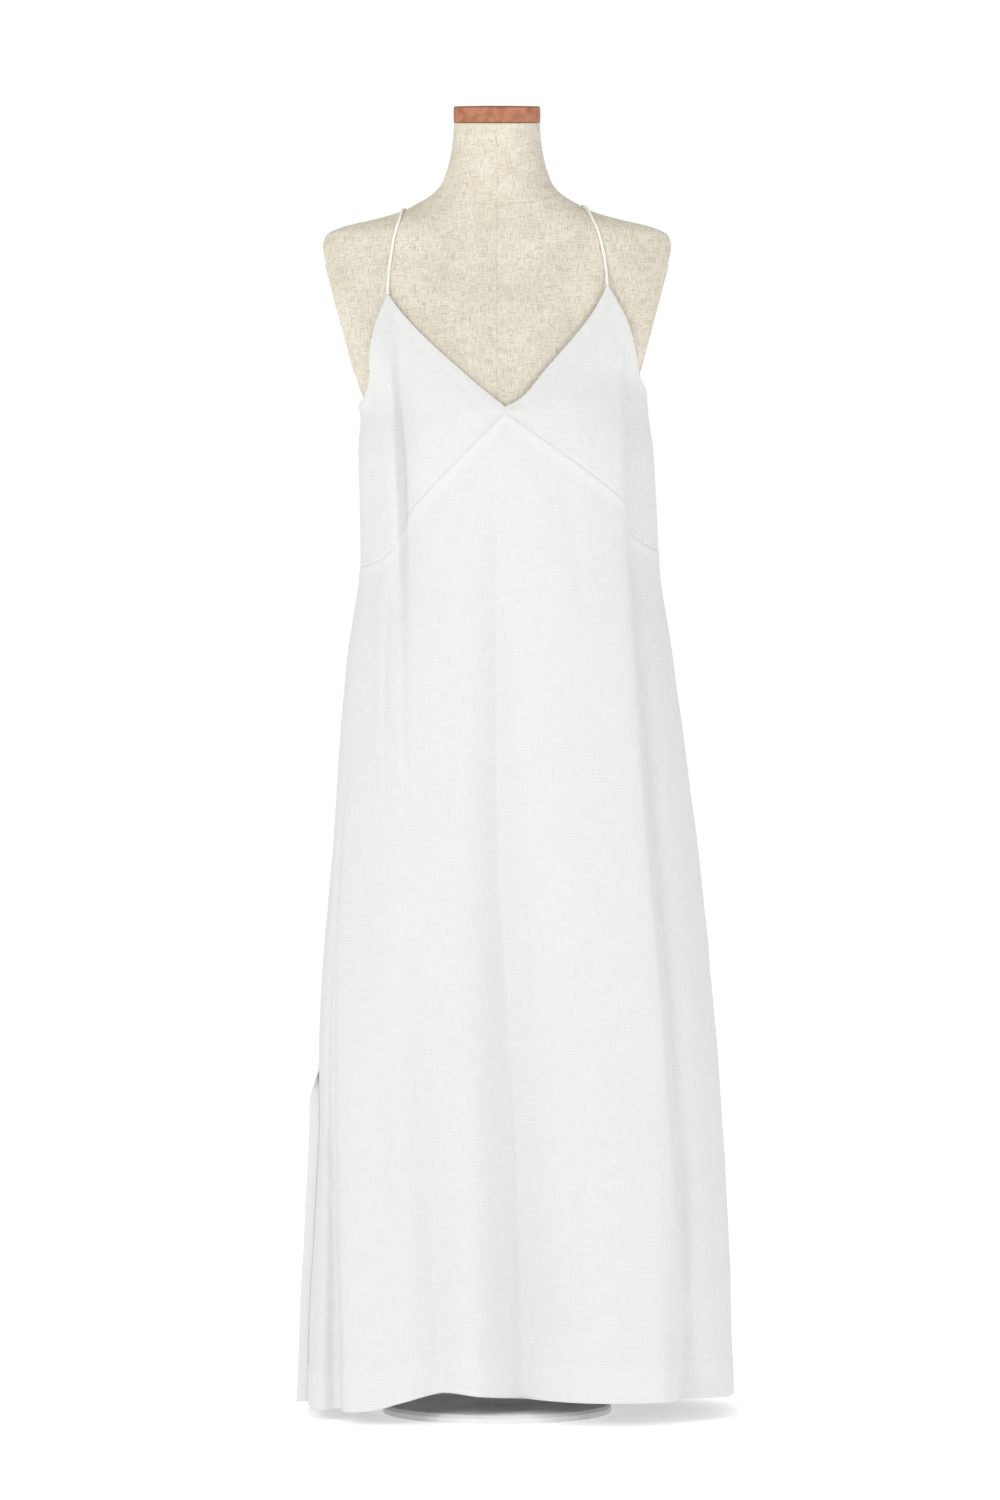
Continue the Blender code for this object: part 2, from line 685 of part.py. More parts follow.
def strap(name, guides, cup, over, finish, collection):
    """A rouleau strap: a round cord of cloth along its centreline."""
    path = strap_path(guides, cup, over)
    curve = bpy.data.curves.new(name, "CURVE")
    curve.dimensions = "3D"
    curve.bevel_depth = STRAP_RADIUS
    curve.bevel_resolution = 2
    curve.use_fill_caps = True
    line = curve.splines.new("POLY")
    line.points.add(len(path) - 1)
    for point, place_at in zip(line.points, path):
        point.co = (*place_at, 1.0)
    made = bpy.data.objects.new(name, curve)
    curve.materials.append(finish)
    collection.objects.link(made)


def build():
    """Builds the dress and the form in one collection."""
    clear_scene()
    collection = bpy.data.collections.new("sundress_on_dress_form")
    bpy.context.scene.collection.children.link(collection)

    linen = finish_material("white_linen", (0.86, 0.86, 0.84), 0.85)
    cover = finish_material("natural_linen", (0.74, 0.69, 0.58), 0.90)
    leather = finish_material("tan_leather", (0.48, 0.20, 0.10), 0.55)
    plate_cloth = finish_material("natural_linen_plate", (0.72, 0.67, 0.56), 0.90)
    paint = finish_material("pale_enamel", (0.80, 0.80, 0.79), 0.45)

    torso(cover, collection)
    neck_cap(leather, collection)
    arm_plate("arm_plate_left", -1, plate_cloth, collection)
    arm_plate("arm_plate_right", 1, plate_cloth, collection)
    stand_pole(paint, collection)
    stand_base(paint, collection)

    cloth_panel("cup_left", cup_points(LEFT_CUP), True, linen, collection)
    cloth_panel("cup_right", cup_points(RIGHT_CUP), False, linen, collection)
    cloth_panel("skirt_front", skirt_front_points(), True, linen, collection)
    cloth_panel("back_panel", back_points(), False, linen, collection)
    strap("strap_left", LEFT_STRAP, LEFT_CUP, False, linen, collection)
    strap("strap_right", RIGHT_STRAP, RIGHT_CUP, True, linen, collection)


build()
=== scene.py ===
"""White linen slip sundress on a limbless dress form, dressed for its picture.

Metres, +Z up. The front faces -Y; left and right are as seen from the front. The form and the dress
are stacks of rounded sections: a section is a superellipse with its own width, front depth and back
depth, and smooth curves join the sections of a table from bottom to top. Folds are ridges, troughs
and laps that move the cloth along the sections' outward direction, or a few of them straight
forward. A share tells how far round half the dress a point lies: 0 is the left side seam and 1 the
right one.
"""

import logging
import math
from dataclasses import dataclass
from enum import Enum

import bpy
import numpy as np
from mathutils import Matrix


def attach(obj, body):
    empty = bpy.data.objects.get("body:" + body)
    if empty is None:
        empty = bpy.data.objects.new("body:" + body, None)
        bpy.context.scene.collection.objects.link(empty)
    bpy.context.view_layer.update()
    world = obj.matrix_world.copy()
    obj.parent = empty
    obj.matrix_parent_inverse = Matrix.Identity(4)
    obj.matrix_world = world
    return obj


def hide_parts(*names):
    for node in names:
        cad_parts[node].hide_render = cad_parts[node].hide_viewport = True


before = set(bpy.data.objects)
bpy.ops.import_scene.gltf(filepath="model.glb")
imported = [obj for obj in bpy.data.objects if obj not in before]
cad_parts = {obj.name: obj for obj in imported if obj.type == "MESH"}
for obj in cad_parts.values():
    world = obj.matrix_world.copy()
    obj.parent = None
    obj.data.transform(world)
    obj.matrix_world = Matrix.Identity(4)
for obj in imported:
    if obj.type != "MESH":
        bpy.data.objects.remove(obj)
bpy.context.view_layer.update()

Array = np.ndarray
BODY = "root"
LOG = logging.getLogger("sundress")


# Curves


def smooth(value: Array | float) -> Array:
    """Ramps from 0 to 1 as 3t^2 - 2t^3, level at both ends."""
    t = np.clip(value, 0.0, 1.0)
    return t * t * (3.0 - 2.0 * t)


def through(places: Array, values: Array, at: Array | float) -> Array:
    """Reads a smooth curve through the points of a table.

    The curve is made of cubic Hermite pieces. The slope at a point is the mean of the slopes on
    its two sides, each weighted with the length of the other side.

    Args:
        places: The table's places, rising.
        values: The value at each place.
        at: Where the curve is read; it stays level past the ends.

    Returns:
        The values at those places.
    """
    places = np.asarray(places, float)
    values = np.asarray(values, float)
    steps = np.diff(places)
    slopes = np.diff(values) / steps
    inner = (slopes[:-1] * steps[1:] + slopes[1:] * steps[:-1]) / (steps[:-1] + steps[1:])
    tangents = np.concatenate([slopes[:1], inner, slopes[-1:]])
    at = np.clip(at, places[0], places[-1])
    i = np.clip(np.searchsorted(places, at, side="right") - 1, 0, len(steps) - 1)
    t = (at - places[i]) / steps[i]
    return (
        (1.0 + 2.0 * t) * (1.0 - t) ** 2 * values[i]
        + t * (1.0 - t) ** 2 * steps[i] * tangents[i]
        + t * t * (3.0 - 2.0 * t) * values[i + 1]
        - t * t * (1.0 - t) * steps[i] * tangents[i + 1]
    )


def table_of(kind: type, *rows: tuple[float, ...]) -> tuple:
    """Makes a table: one object of a kind from the values of each row."""
    return tuple(kind(*row) for row in rows)


def column(table: tuple, name: str, at: Array | float) -> Array:
    """Reads one named column of a table of rows at any height."""
    return through([row.height for row in table], [getattr(row, name) for row in table], at)


def corner_scale(across: Array, along: Array, squareness: Array) -> Array:
    """How far a superellipse stands out: (|across|^n + |along|^n)^(-1/n)."""
    return (np.abs(across) ** squareness + np.abs(along) ** squareness) ** (-1.0 / squareness)


def run_length(points: Array, axis: int) -> Array:
    """The distance walked along a grid from its start: the running sum of its steps' lengths.

    Args:
        points: The grid's points.
        axis: 1 to walk along its rows, 0 to walk along its columns.

    Returns:
        The distance at each point.
    """
    steps = np.linalg.norm(np.diff(points, axis=axis), axis=-1)
    start = np.zeros_like(np.take(steps, [0], axis=axis))
    return np.concatenate([start, np.cumsum(steps, axis=axis)], axis=axis)


# Tables of the form and the dress


class Face(Enum):
    """The two halves of the dress."""

    FRONT = -1
    BACK = 1


class Lay(Enum):
    """How a fold lies: round to both sides, sharp along its line, or lapped over one side."""

    ROUND = 0
    SHARP = 1
    LAP_RIGHT = 2
    LAP_LEFT = 3


@dataclass(frozen=True)
class FormSection:
    """One level section of the form, the same on both sides of x = 0."""

    height: float
    half_width: float
    middle: float
    front: float
    back: float
    squareness: float


@dataclass(frozen=True)
class DressSection:
    """One level section of the dress, with its side seams and its front and back faces."""

    height: float
    left: float
    right: float
    seam: float
    front: float
    back: float
    squareness: float


@dataclass(frozen=True)
class FoldPoint:
    """One place along a fold: its height and x in the front view, its lift and half widths."""

    height: float
    x: float
    lift: float
    left: float
    right: float


@dataclass(frozen=True)
class Crease:
    """A short pressed wrinkle between two places in the front view."""

    start_x: float
    start_height: float
    end_x: float
    end_height: float
    lift: float
    width: float


@dataclass(frozen=True)
class Ripple:
    """A slight wave of the cloth, in waves a metre across and along."""

    across: float
    along: float
    phase: float
    lift: float


@dataclass(frozen=True)
class EdgePoint:
    """A point of a hem or neckline in the front view."""

    x: float
    height: float


@dataclass(frozen=True)
class CupCut:
    """One cup: its apex, the bows of its top edges, its underarm height and its empire seam."""

    apex_x: float
    apex_height: float
    neck_bow: float
    armhole_power: float
    underarm: float
    side_height: float
    slope: float
    step: float
    step_place: float


@dataclass(frozen=True)
class StrapGuide:
    """A point that a strap passes, on the front (-1), the shoulder ridge (0) or the back (1)."""

    x: float
    height: float
    side: int


FORM_SECTIONS = table_of(
    FormSection,
    (0.530, 0.1480, 0.004, -0.094, 0.108, 2.3),
    (0.600, 0.1560, 0.006, -0.101, 0.120, 2.3),
    (0.680, 0.1500, 0.006, -0.099, 0.114, 2.3),
    (0.780, 0.1290, 0.000, -0.089, 0.088, 2.3),
    (0.840, 0.1170, -0.004, -0.084, 0.073, 2.3),
    (0.910, 0.1230, -0.006, -0.093, 0.080, 2.3),
    (0.966, 0.1310, -0.008, -0.107, 0.090, 2.3),
    (1.026, 0.1370, -0.008, -0.127, 0.097, 2.3),
    (1.060, 0.1395, -0.006, -0.122, 0.099, 2.3),
    (1.080, 0.1515, -0.004, -0.116, 0.100, 2.3),
    (1.105, 0.1685, -0.002, -0.107, 0.100, 2.3),
    (1.140, 0.1860, 0.000, -0.094, 0.098, 2.2),
    (1.180, 0.1920, 0.002, -0.079, 0.092, 2.1),
    (1.210, 0.1875, 0.004, -0.068, 0.085, 2.0),
    (1.229, 0.1825, 0.005, -0.062, 0.078, 2.0),
    (1.237, 0.1770, 0.005, -0.059, 0.074, 2.0),
    (1.2435, 0.1610, 0.005, -0.057, 0.071, 2.0),
    (1.2515, 0.1270, 0.005, -0.055, 0.068, 2.0),
    (1.260, 0.0985, 0.004, -0.053, 0.064, 2.0),
    (1.267, 0.0850, 0.003, -0.052, 0.060, 2.0),
    (1.275, 0.0710, 0.001, -0.051, 0.056, 2.0),
    (1.284, 0.0610, -0.001, -0.051, 0.052, 2.0),
    (1.298, 0.0540, -0.004, -0.051, 0.046, 2.0),
    (1.320, 0.0480, -0.008, -0.052, 0.039, 2.0),
    (1.3505, 0.0446, -0.013, -0.055, 0.031, 2.0),
)

DRESS_SECTIONS = table_of(
    DressSection,
    (0.000, -0.1990, 0.2487, 0.000, -0.150, 0.152, 2.9),
    (0.100, -0.1955, 0.2460, 0.000, -0.149, 0.150, 2.9),
    (0.200, -0.1900, 0.2415, 0.000, -0.147, 0.148, 2.9),
    (0.300, -0.1855, 0.2360, 0.000, -0.146, 0.146, 2.8),
    (0.400, -0.1855, 0.2290, 0.000, -0.144, 0.144, 2.7),
    (0.500, -0.1795, 0.2200, 0.000, -0.142, 0.141, 2.6),
    (0.600, -0.1710, 0.2085, 0.000, -0.141, 0.138, 2.5),
    (0.700, -0.1640, 0.1965, 0.000, -0.140, 0.134, 2.4),
    (0.800, -0.1555, 0.1825, 0.000, -0.139, 0.128, 2.4),
    (0.885, -0.1435, 0.1700, 0.000, -0.138, 0.120, 2.4),
    (0.950, -0.1430, 0.1665, -0.002, -0.137, 0.114, 2.4),
    (1.010, -0.1445, 0.1630, -0.004, -0.135, 0.109, 2.4),
    (1.050, -0.1435, 0.1580, -0.005, -0.130, 0.107, 2.3),
    (1.080, -0.1540, 0.1580, -0.004, -0.121, 0.107, 2.3),
    (1.105, -0.1715, 0.1715, -0.002, -0.112, 0.107, 2.3),
    (1.140, -0.1905, 0.1905, 0.000, -0.099, 0.105, 2.2),
    (1.180, -0.1965, 0.1965, 0.002, -0.084, 0.099, 2.1),
    (1.210, -0.1920, 0.1920, 0.004, -0.073, 0.092, 2.0),
)

FRONT_HEM = table_of(
    EdgePoint,
    (-0.199, 0.0120),
    (-0.180, 0.0115),
    (-0.154, 0.0131),
    (-0.126, 0.0161),
    (-0.100, 0.0240),
    (-0.058, 0.0335),
    (-0.016, 0.0297),
    (0.022, 0.0255),
    (0.067, 0.0252),
    (0.150, 0.0250),
    (0.200, 0.0250),
    (0.2487, 0.0190),
)
BACK_HEM = table_of(
    EdgePoint,
    (-0.199, 0.0105),
    (-0.100, 0.0200),
    (0.000, 0.0250),
    (0.120, 0.0230),
    (0.2487, 0.0190),
)
V_POINT = EdgePoint(0.0082, 1.0465)
SEAM_POINT = 1.0405
LEFT_CUP = CupCut(-0.1133, 1.1670, 0.36, 3.1, 1.055, 0.8830, 1.52, 0.14, 0.46)
RIGHT_CUP = CupCut(0.1145, 1.1770, 0.80, 2.6, 1.070, 0.9000, 1.26, 0.18, 0.55)

LEFT_GUIDES = table_of(
    StrapGuide,
    (-0.1125, 1.1850, -1),
    (-0.1100, 1.2070, -1),
    (-0.1065, 1.2290, -1),
    (-0.1020, 1.2450, -1),
    (-0.0965, 1.2610, 0),
    (-0.0900, 1.2480, 1),
    (-0.0760, 1.2300, 1),
    (-0.0500, 1.1990, 1),
    (-0.0240, 1.1680, 1),
    (0.0000, 1.1400, 1),
    (0.0240, 1.1120, 1),
)
RIGHT_GUIDES = table_of(
    StrapGuide,
    (0.1130, 1.1940, -1),
    (0.1095, 1.2160, -1),
    (0.1050, 1.2340, -1),
    (0.0985, 1.2490, -1),
    (0.0900, 1.2645, 0),
    (0.0830, 1.2510, 1),
    (0.0700, 1.2330, 1),
    (0.0470, 1.2010, 1),
    (0.0230, 1.1690, 1),
    (0.0000, 1.1400, 1),
    (-0.0240, 1.1110, 1),
)


# Meshes


def grid_corners(rows: int, columns: int, wrap: bool = False) -> Array:
    """The corner numbers of a grid's squares.

    Args:
        rows: The grid's number of rows.
        columns: Its number of columns.
        wrap: Whether a last strip of squares runs back to the first column.

    Returns:
        Four corner numbers for each square.
    """
    index = np.arange(rows * columns).reshape(rows, columns)
    if wrap:
        index = np.concatenate([index, index[:, :1]], axis=1)
    corners = [index[:-1, :-1], index[:-1, 1:], index[1:, 1:], index[1:, :-1]]
    return np.stack([corner.ravel() for corner in corners], axis=1)


def grid_normals(points: Array) -> Array:
    """Unit normals of a grid: the cross product of its steps along rows and along columns."""
    normal = np.cross(np.gradient(points, axis=1), np.gradient(points, axis=0))
    return normal / np.linalg.norm(normal, axis=-1, keepdims=True)


def make_object(
    name: str, points: Array, faces: list, maps: dict[str, Array], material: bpy.types.Material
) -> bpy.types.Object:
    """Makes a smooth-shaded object.

    Args:
        name: The object's name.
        points: Its points, one row each.
        faces: The corner numbers of each face.
        maps: For each UV map, the two values at every face corner in order.
        material: Its material.

    Returns:
        The object, at the origin, linked to the scene.
    """
    mesh = bpy.data.meshes.new(name)
    mesh.from_pydata(points.tolist(), [], faces)
    for title, values in maps.items():
        layer = mesh.uv_layers.new(name=title)
        layer.uv.foreach_set("vector", np.ascontiguousarray(values, np.float32).ravel())
    mesh.shade_smooth()
    mesh.materials.append(material)
    made = bpy.data.objects.new(name, mesh)
    bpy.context.scene.collection.objects.link(made)
    return made


def cloth_object(
    name: str, points: Array, thickness: Array, maps: dict[str, Array], material: bpy.types.Material
) -> bpy.types.Object:
    """Makes a cloth wall round a mid-surface grid whose normals point outwards.

    The outer and the inner face lie half a thickness to either side of the grid along its normals.
    A rim runs round the edge, half a thickness past the grid, so that the edge is rounded.

    Args:
        name: The object's name.
        points: The mid-surface, rows by columns.
        thickness: The wall's thickness at each point.
        maps: For each UV map, two values at each point.
        material: Its material.

    Returns:
        The closed cloth wall.
    """
    rows, columns = points.shape[:2]
    half = thickness[..., None] / 2.0
    normals = grid_normals(points)
    index = np.arange(rows * columns).reshape(rows, columns)
    loop = np.concatenate([index[0, :-1], index[:-1, -1], index[-1, :0:-1], index[:0:-1, 0]])
    inside = np.clip(np.stack(np.divmod(loop, columns), 1), 1, [rows - 2, columns - 2])
    flat = points.reshape(-1, 3)
    away = flat[loop] - points[inside[:, 0], inside[:, 1]]
    away /= np.linalg.norm(away, axis=1, keepdims=True)
    rim = flat[loop] + away * half.reshape(-1, 1)[loop]
    outer = (points + normals * half).reshape(-1, 3)
    inner = (points - normals * half).reshape(-1, 3)
    count = rows * columns
    squares = grid_corners(rows, columns)
    edge = 2 * count + np.arange(len(loop))
    after, edge_after = np.roll(loop, -1), np.roll(edge, -1)
    faces = np.concatenate(
        [
            squares,
            squares[:, ::-1] + count,
            np.stack([after, loop, edge, edge_after], axis=1),
            np.stack([edge_after, edge, loop + count, after + count], axis=1),
        ]
    )
    corners = {}
    for title, values in maps.items():
        values = values.reshape(-1, 2)
        corners[title] = np.concatenate([values, values, values[loop]])[faces]
    everything = np.concatenate([outer, inner, rim])
    return make_object(name, everything, faces.tolist(), corners, material)


def ring_object(
    name: str, rings: Array, maps: dict[str, Array], material: bpy.types.Material
) -> bpy.types.Object:
    """Makes a closed solid from a stack of closed rings, with a flat face over each end.

    The signed volume, a third of the sum of face centre dot face normal, tells whether the faces
    point outwards; they are turned round if they don't.

    Args:
        name: The object's name.
        rings: Points, rings by places round each ring.
        maps: For each UV map, two values per point, with the first place repeated at the end.
        material: Its material.

    Returns:
        The solid.
    """
    count, around = rings.shape[:2]
    squares = grid_corners(count, around, wrap=True)
    points = rings.reshape(-1, 3)
    corner = points[squares]
    normal = np.cross(corner[:, 2] - corner[:, 0], corner[:, 3] - corner[:, 1])
    inward = np.sum(corner.mean(axis=1) * normal) < 0.0
    low = np.arange(around)[::-1]
    high = np.arange(around) + (count - 1) * around
    corners = {}
    spots = grid_corners(count, around + 1).reshape(-1, 4)
    for title, values in maps.items():
        values = values.reshape(-1, 2)
        turned = values[spots[:, ::-1] if inward else spots]
        ends = [low, high + count - 1]
        ends = [end[::-1] if inward else end for end in ends]
        corners[title] = np.concatenate([turned.reshape(-1, 2)] + [values[end] for end in ends])
    step = -1 if inward else 1
    faces = squares[:, ::step].tolist() + [low[::step].tolist(), high[::step].tolist()]
    return make_object(name, points, faces, corners, material)


def wrapped(values: Array) -> Array:
    """Repeats the first place of each ring at its end."""
    return np.concatenate([values, values[:, :1]], axis=1)


# Node wiring


@dataclass
class Wiring:
    """Adds nodes to one node tree and joins them."""

    tree: bpy.types.NodeTree

    def feed(self, socket: bpy.types.NodeSocket, value: object) -> None:
        """Feeds a socket.

        Args:
            socket: The input to feed.
            value: A source socket, to which it is joined, or the value that it gets.
        """
        if isinstance(value, bpy.types.NodeSocket):
            self.tree.links.new(value, socket)
        else:
            socket.default_value = value

    def feed_all(self, node: bpy.types.Node, **inputs: object) -> None:
        """Feeds several inputs of a node; underscores in their names stand for spaces."""
        for name, value in inputs.items():
            self.feed(node.inputs[name.replace("_", " ")], value)

    def add(self, kind: str, inputs: dict[str | int, object], **settings: object) -> bpy.types.Node:
        """Adds a node.

        Args:
            kind: The node's type.
            inputs: A value or a source socket for each named or numbered input.
            **settings: The node's own settings.

        Returns:
            The node.
        """
        node = self.tree.nodes.new(kind)
        for name, value in settings.items():
            setattr(node, name, value)
        for name, value in inputs.items():
            self.feed(node.inputs[name], value)
        return node

    def maths(self, operation: str, *values: object, clamp: bool = False) -> bpy.types.NodeSocket:
        """Adds a Math node over the values and gives its result."""
        inputs = dict(enumerate(values))
        return self.add("ShaderNodeMath", inputs, operation=operation, use_clamp=clamp).outputs[0]

    def ramp(self, value: object, low: float, high: float) -> bpy.types.NodeSocket:
        """Adds a smooth ramp, 3t^2 - 2t^3 between two values, falling if the first is larger.

        Args:
            value: The value or source socket that it reads.
            low: Where it gives 0.
            high: Where it gives 1.

        Returns:
            The ramp's socket.
        """
        inputs = {"Value": value, "From Min": min(low, high), "From Max": max(low, high)}
        if low > high:
            inputs |= {"To Min": 1.0, "To Max": 0.0}
        return self.add("ShaderNodeMapRange", inputs, interpolation_type="SMOOTHSTEP").outputs[0]

    def mix(self, factor: object, low: object, high: object) -> bpy.types.NodeSocket:
        """Mixes two colours: low * (1 - factor) + high * factor.

        Args:
            factor: The share of the second colour.
            low: The first colour.
            high: The second colour.

        Returns:
            The mixed colour's socket.
        """
        node = self.tree.nodes.new("ShaderNodeMix")
        node.data_type = "RGBA"
        self.feed(node.inputs[0], factor)
        self.feed(node.inputs[6], low)
        self.feed(node.inputs[7], high)
        return node.outputs[2]

    def noise(
        self, place: object, scale: tuple[float, float, float], detail: float
    ) -> bpy.types.NodeSocket:
        """Adds a noise whose grain is one over the scale in each direction.

        Args:
            place: The coordinates that it reads.
            scale: Its scale in each direction.
            detail: Its octaves.

        Returns:
            The noise's value.
        """
        stretched = self.add("ShaderNodeVectorMath", {0: place, 1: scale}, operation="MULTIPLY")
        inputs = {"Vector": stretched.outputs[0], "Scale": 1.0, "Detail": detail}
        return self.add("ShaderNodeTexNoise", inputs).outputs["Fac"]

    def uv(self, title: str) -> tuple[bpy.types.NodeSocket, ...]:
        """Reads a UV map.

        Args:
            title: The map's name.

        Returns:
            Its vector and its two values.
        """
        place = self.add("ShaderNodeUVMap", {}, uv_map=title).outputs[0]
        parts = self.add("ShaderNodeSeparateXYZ", {0: place}).outputs
        return place, parts[0], parts[1]

    def group(self, tree: bpy.types.NodeTree, **inputs: object) -> bpy.types.Node:
        """Places a node group.

        Args:
            tree: The group.
            **inputs: A value or source for each input; underscores stand for spaces.

        Returns:
            The group's node.
        """
        node = self.tree.nodes.new("ShaderNodeGroup")
        node.node_tree = tree
        self.feed_all(node, **inputs)
        return node

    def bump(self, strength: float, depth: float, height: object) -> bpy.types.NodeSocket:
        """Adds a bump as deep as given, in metres, where the height is 1, and gives its normal."""
        inputs = {"Strength": strength, "Distance": depth, "Height": height}
        return self.add("ShaderNodeBump", inputs).outputs[0]


def new_group(name: str, inputs: dict[str, object], outputs: tuple[str, ...]) -> tuple:
    """Starts a node group.

    Args:
        name: The group's name.
        inputs: A name and a plain value for each input; a value of None makes a vector input.
        outputs: The names of its outputs, all plain values.

    Returns:
        The tree, its wiring, its input sockets and its output node.
    """
    tree = bpy.data.node_groups.new(name, "ShaderNodeTree")
    for title, value in inputs.items():
        kind = "NodeSocketVector" if value is None else "NodeSocketFloat"
        socket = tree.interface.new_socket(title, in_out="INPUT", socket_type=kind)
        if value is not None:
            socket.default_value = value
    for title in outputs:
        tree.interface.new_socket(title, in_out="OUTPUT", socket_type="NodeSocketFloat")
    wiring = Wiring(tree)
    given = tree.nodes.new("NodeGroupInput").outputs
    return tree, wiring, given, tree.nodes.new("NodeGroupOutput")


def weave_group() -> bpy.types.NodeTree:
    """Plain weave: threads over and under each other, with uneven thicker threads both ways.

    The threads are sin(pi u / pitch) times sin(pi v / pitch). The thick threads are noises drawn
    out along the weft and along the warp. Tone is the light and dark of the cloth, and Height is
    its relief.

    Returns:
        The node group.
    """
    thread_tone, thread_height = 0.2, 0.45
    thin, thick = 0.28, 0.72
    tree, wire, given, result = new_group(
        "weave", {"Place": None, "Pitch": 0.0008, "Warp Share": 0.4}, ("Tone", "Height")
    )
    parts = wire.add("ShaderNodeSeparateXYZ", {0: given["Place"]}).outputs
    waves = []
    for part in (parts[0], parts[1]):
        turns = wire.maths("MULTIPLY", wire.maths("DIVIDE", part, given["Pitch"]), math.pi)
        waves.append(wire.maths("SINE", turns))
    threads = wire.maths("MULTIPLY_ADD", wire.maths("MULTIPLY", waves[0], waves[1]), 0.5, 0.5)
    weft = wire.ramp(wire.noise(given["Place"], (45.0, 1150.0, 1.0), 2.0), thin, thick)
    warp = wire.ramp(wire.noise(given["Place"], (1200.0, 50.0, 1.0), 2.0), thin, thick)
    uneven = wire.add(
        "ShaderNodeMix", {0: given["Warp Share"], 2: weft, 3: warp}, data_type="FLOAT"
    ).outputs[0]
    for title, thread_share in (("Tone", thread_tone), ("Height", thread_height)):
        rest = wire.maths("MULTIPLY", uneven, 1.0 - thread_share)
        wire.feed(result.inputs[title], wire.maths("MULTIPLY_ADD", threads, thread_share, rest))
    return tree


def band_group() -> bpy.types.NodeTree:
    """Doubled cloth along an edge, with its row of stitches.

    Mask is 1 from the edge to the width and 0 past it. Stitch is a dashed line just inside the
    width, one dash a stitch length, for grooves; it is 0 where the width is 0.

    Returns:
        The node group.
    """
    mask_edge, stitch_inset, least_width = 0.0007, 0.0013, 0.001
    tree, wire, given, result = new_group(
        "doubled_band",
        {"Distance": 0.0, "Along": 0.0, "Width": 0.01, "Stitch Length": 0.0028},
        ("Mask", "Stitch"),
    )
    past = wire.maths("SUBTRACT", given["Width"], given["Distance"])
    wire.feed(result.inputs["Mask"], wire.ramp(past, -mask_edge, mask_edge))
    off = wire.maths("ABSOLUTE", wire.maths("SUBTRACT", past, stitch_inset))
    line = wire.ramp(off, 0.0008, 0.0001)
    turns = wire.maths("DIVIDE", given["Along"], given["Stitch Length"])
    dash = wire.ramp(wire.maths("PINGPONG", turns, 0.5), 0.06, 0.16)
    used = wire.maths("GREATER_THAN", given["Width"], least_width)
    stitch = wire.maths("MULTIPLY", wire.maths("MULTIPLY", line, dash), used)
    wire.feed(result.inputs["Stitch"], stitch)
    return tree


def mottle_group() -> bpy.types.NodeTree:
    """Broad soft unevenness: a noise of three octaves, stretched to fill 0 to 1.

    Returns:
        The node group.
    """
    tree, wire, given, result = new_group("mottle", {"Place": None, "Scale": 20.0}, ("Value",))
    inputs = {"Vector": given["Place"], "Scale": given["Scale"], "Detail": 3.0}
    noise = wire.add("ShaderNodeTexNoise", inputs).outputs["Fac"]
    wire.feed(result.inputs["Value"], wire.ramp(noise, 0.3, 0.7))
    return tree


@dataclass
class Effects:
    """The node groups that several finishes share."""

    weave: bpy.types.NodeTree
    band: bpy.types.NodeTree
    mottle: bpy.types.NodeTree


def colour(red: float, green: float, blue: float) -> tuple[float, float, float, float]:
    """An opaque colour from linear values."""
    return (red, green, blue, 1.0)


def new_material(name: str) -> tuple[bpy.types.Material, Wiring, bpy.types.Node]:
    """Starts a material.

    Args:
        name: The material's name.

    Returns:
        The material, its wiring and its Principled shader.
    """
    made = bpy.data.materials.new(name)
    made.use_nodes = True
    return made, Wiring(made.node_tree), made.node_tree.nodes["Principled BSDF"]


# Finishes


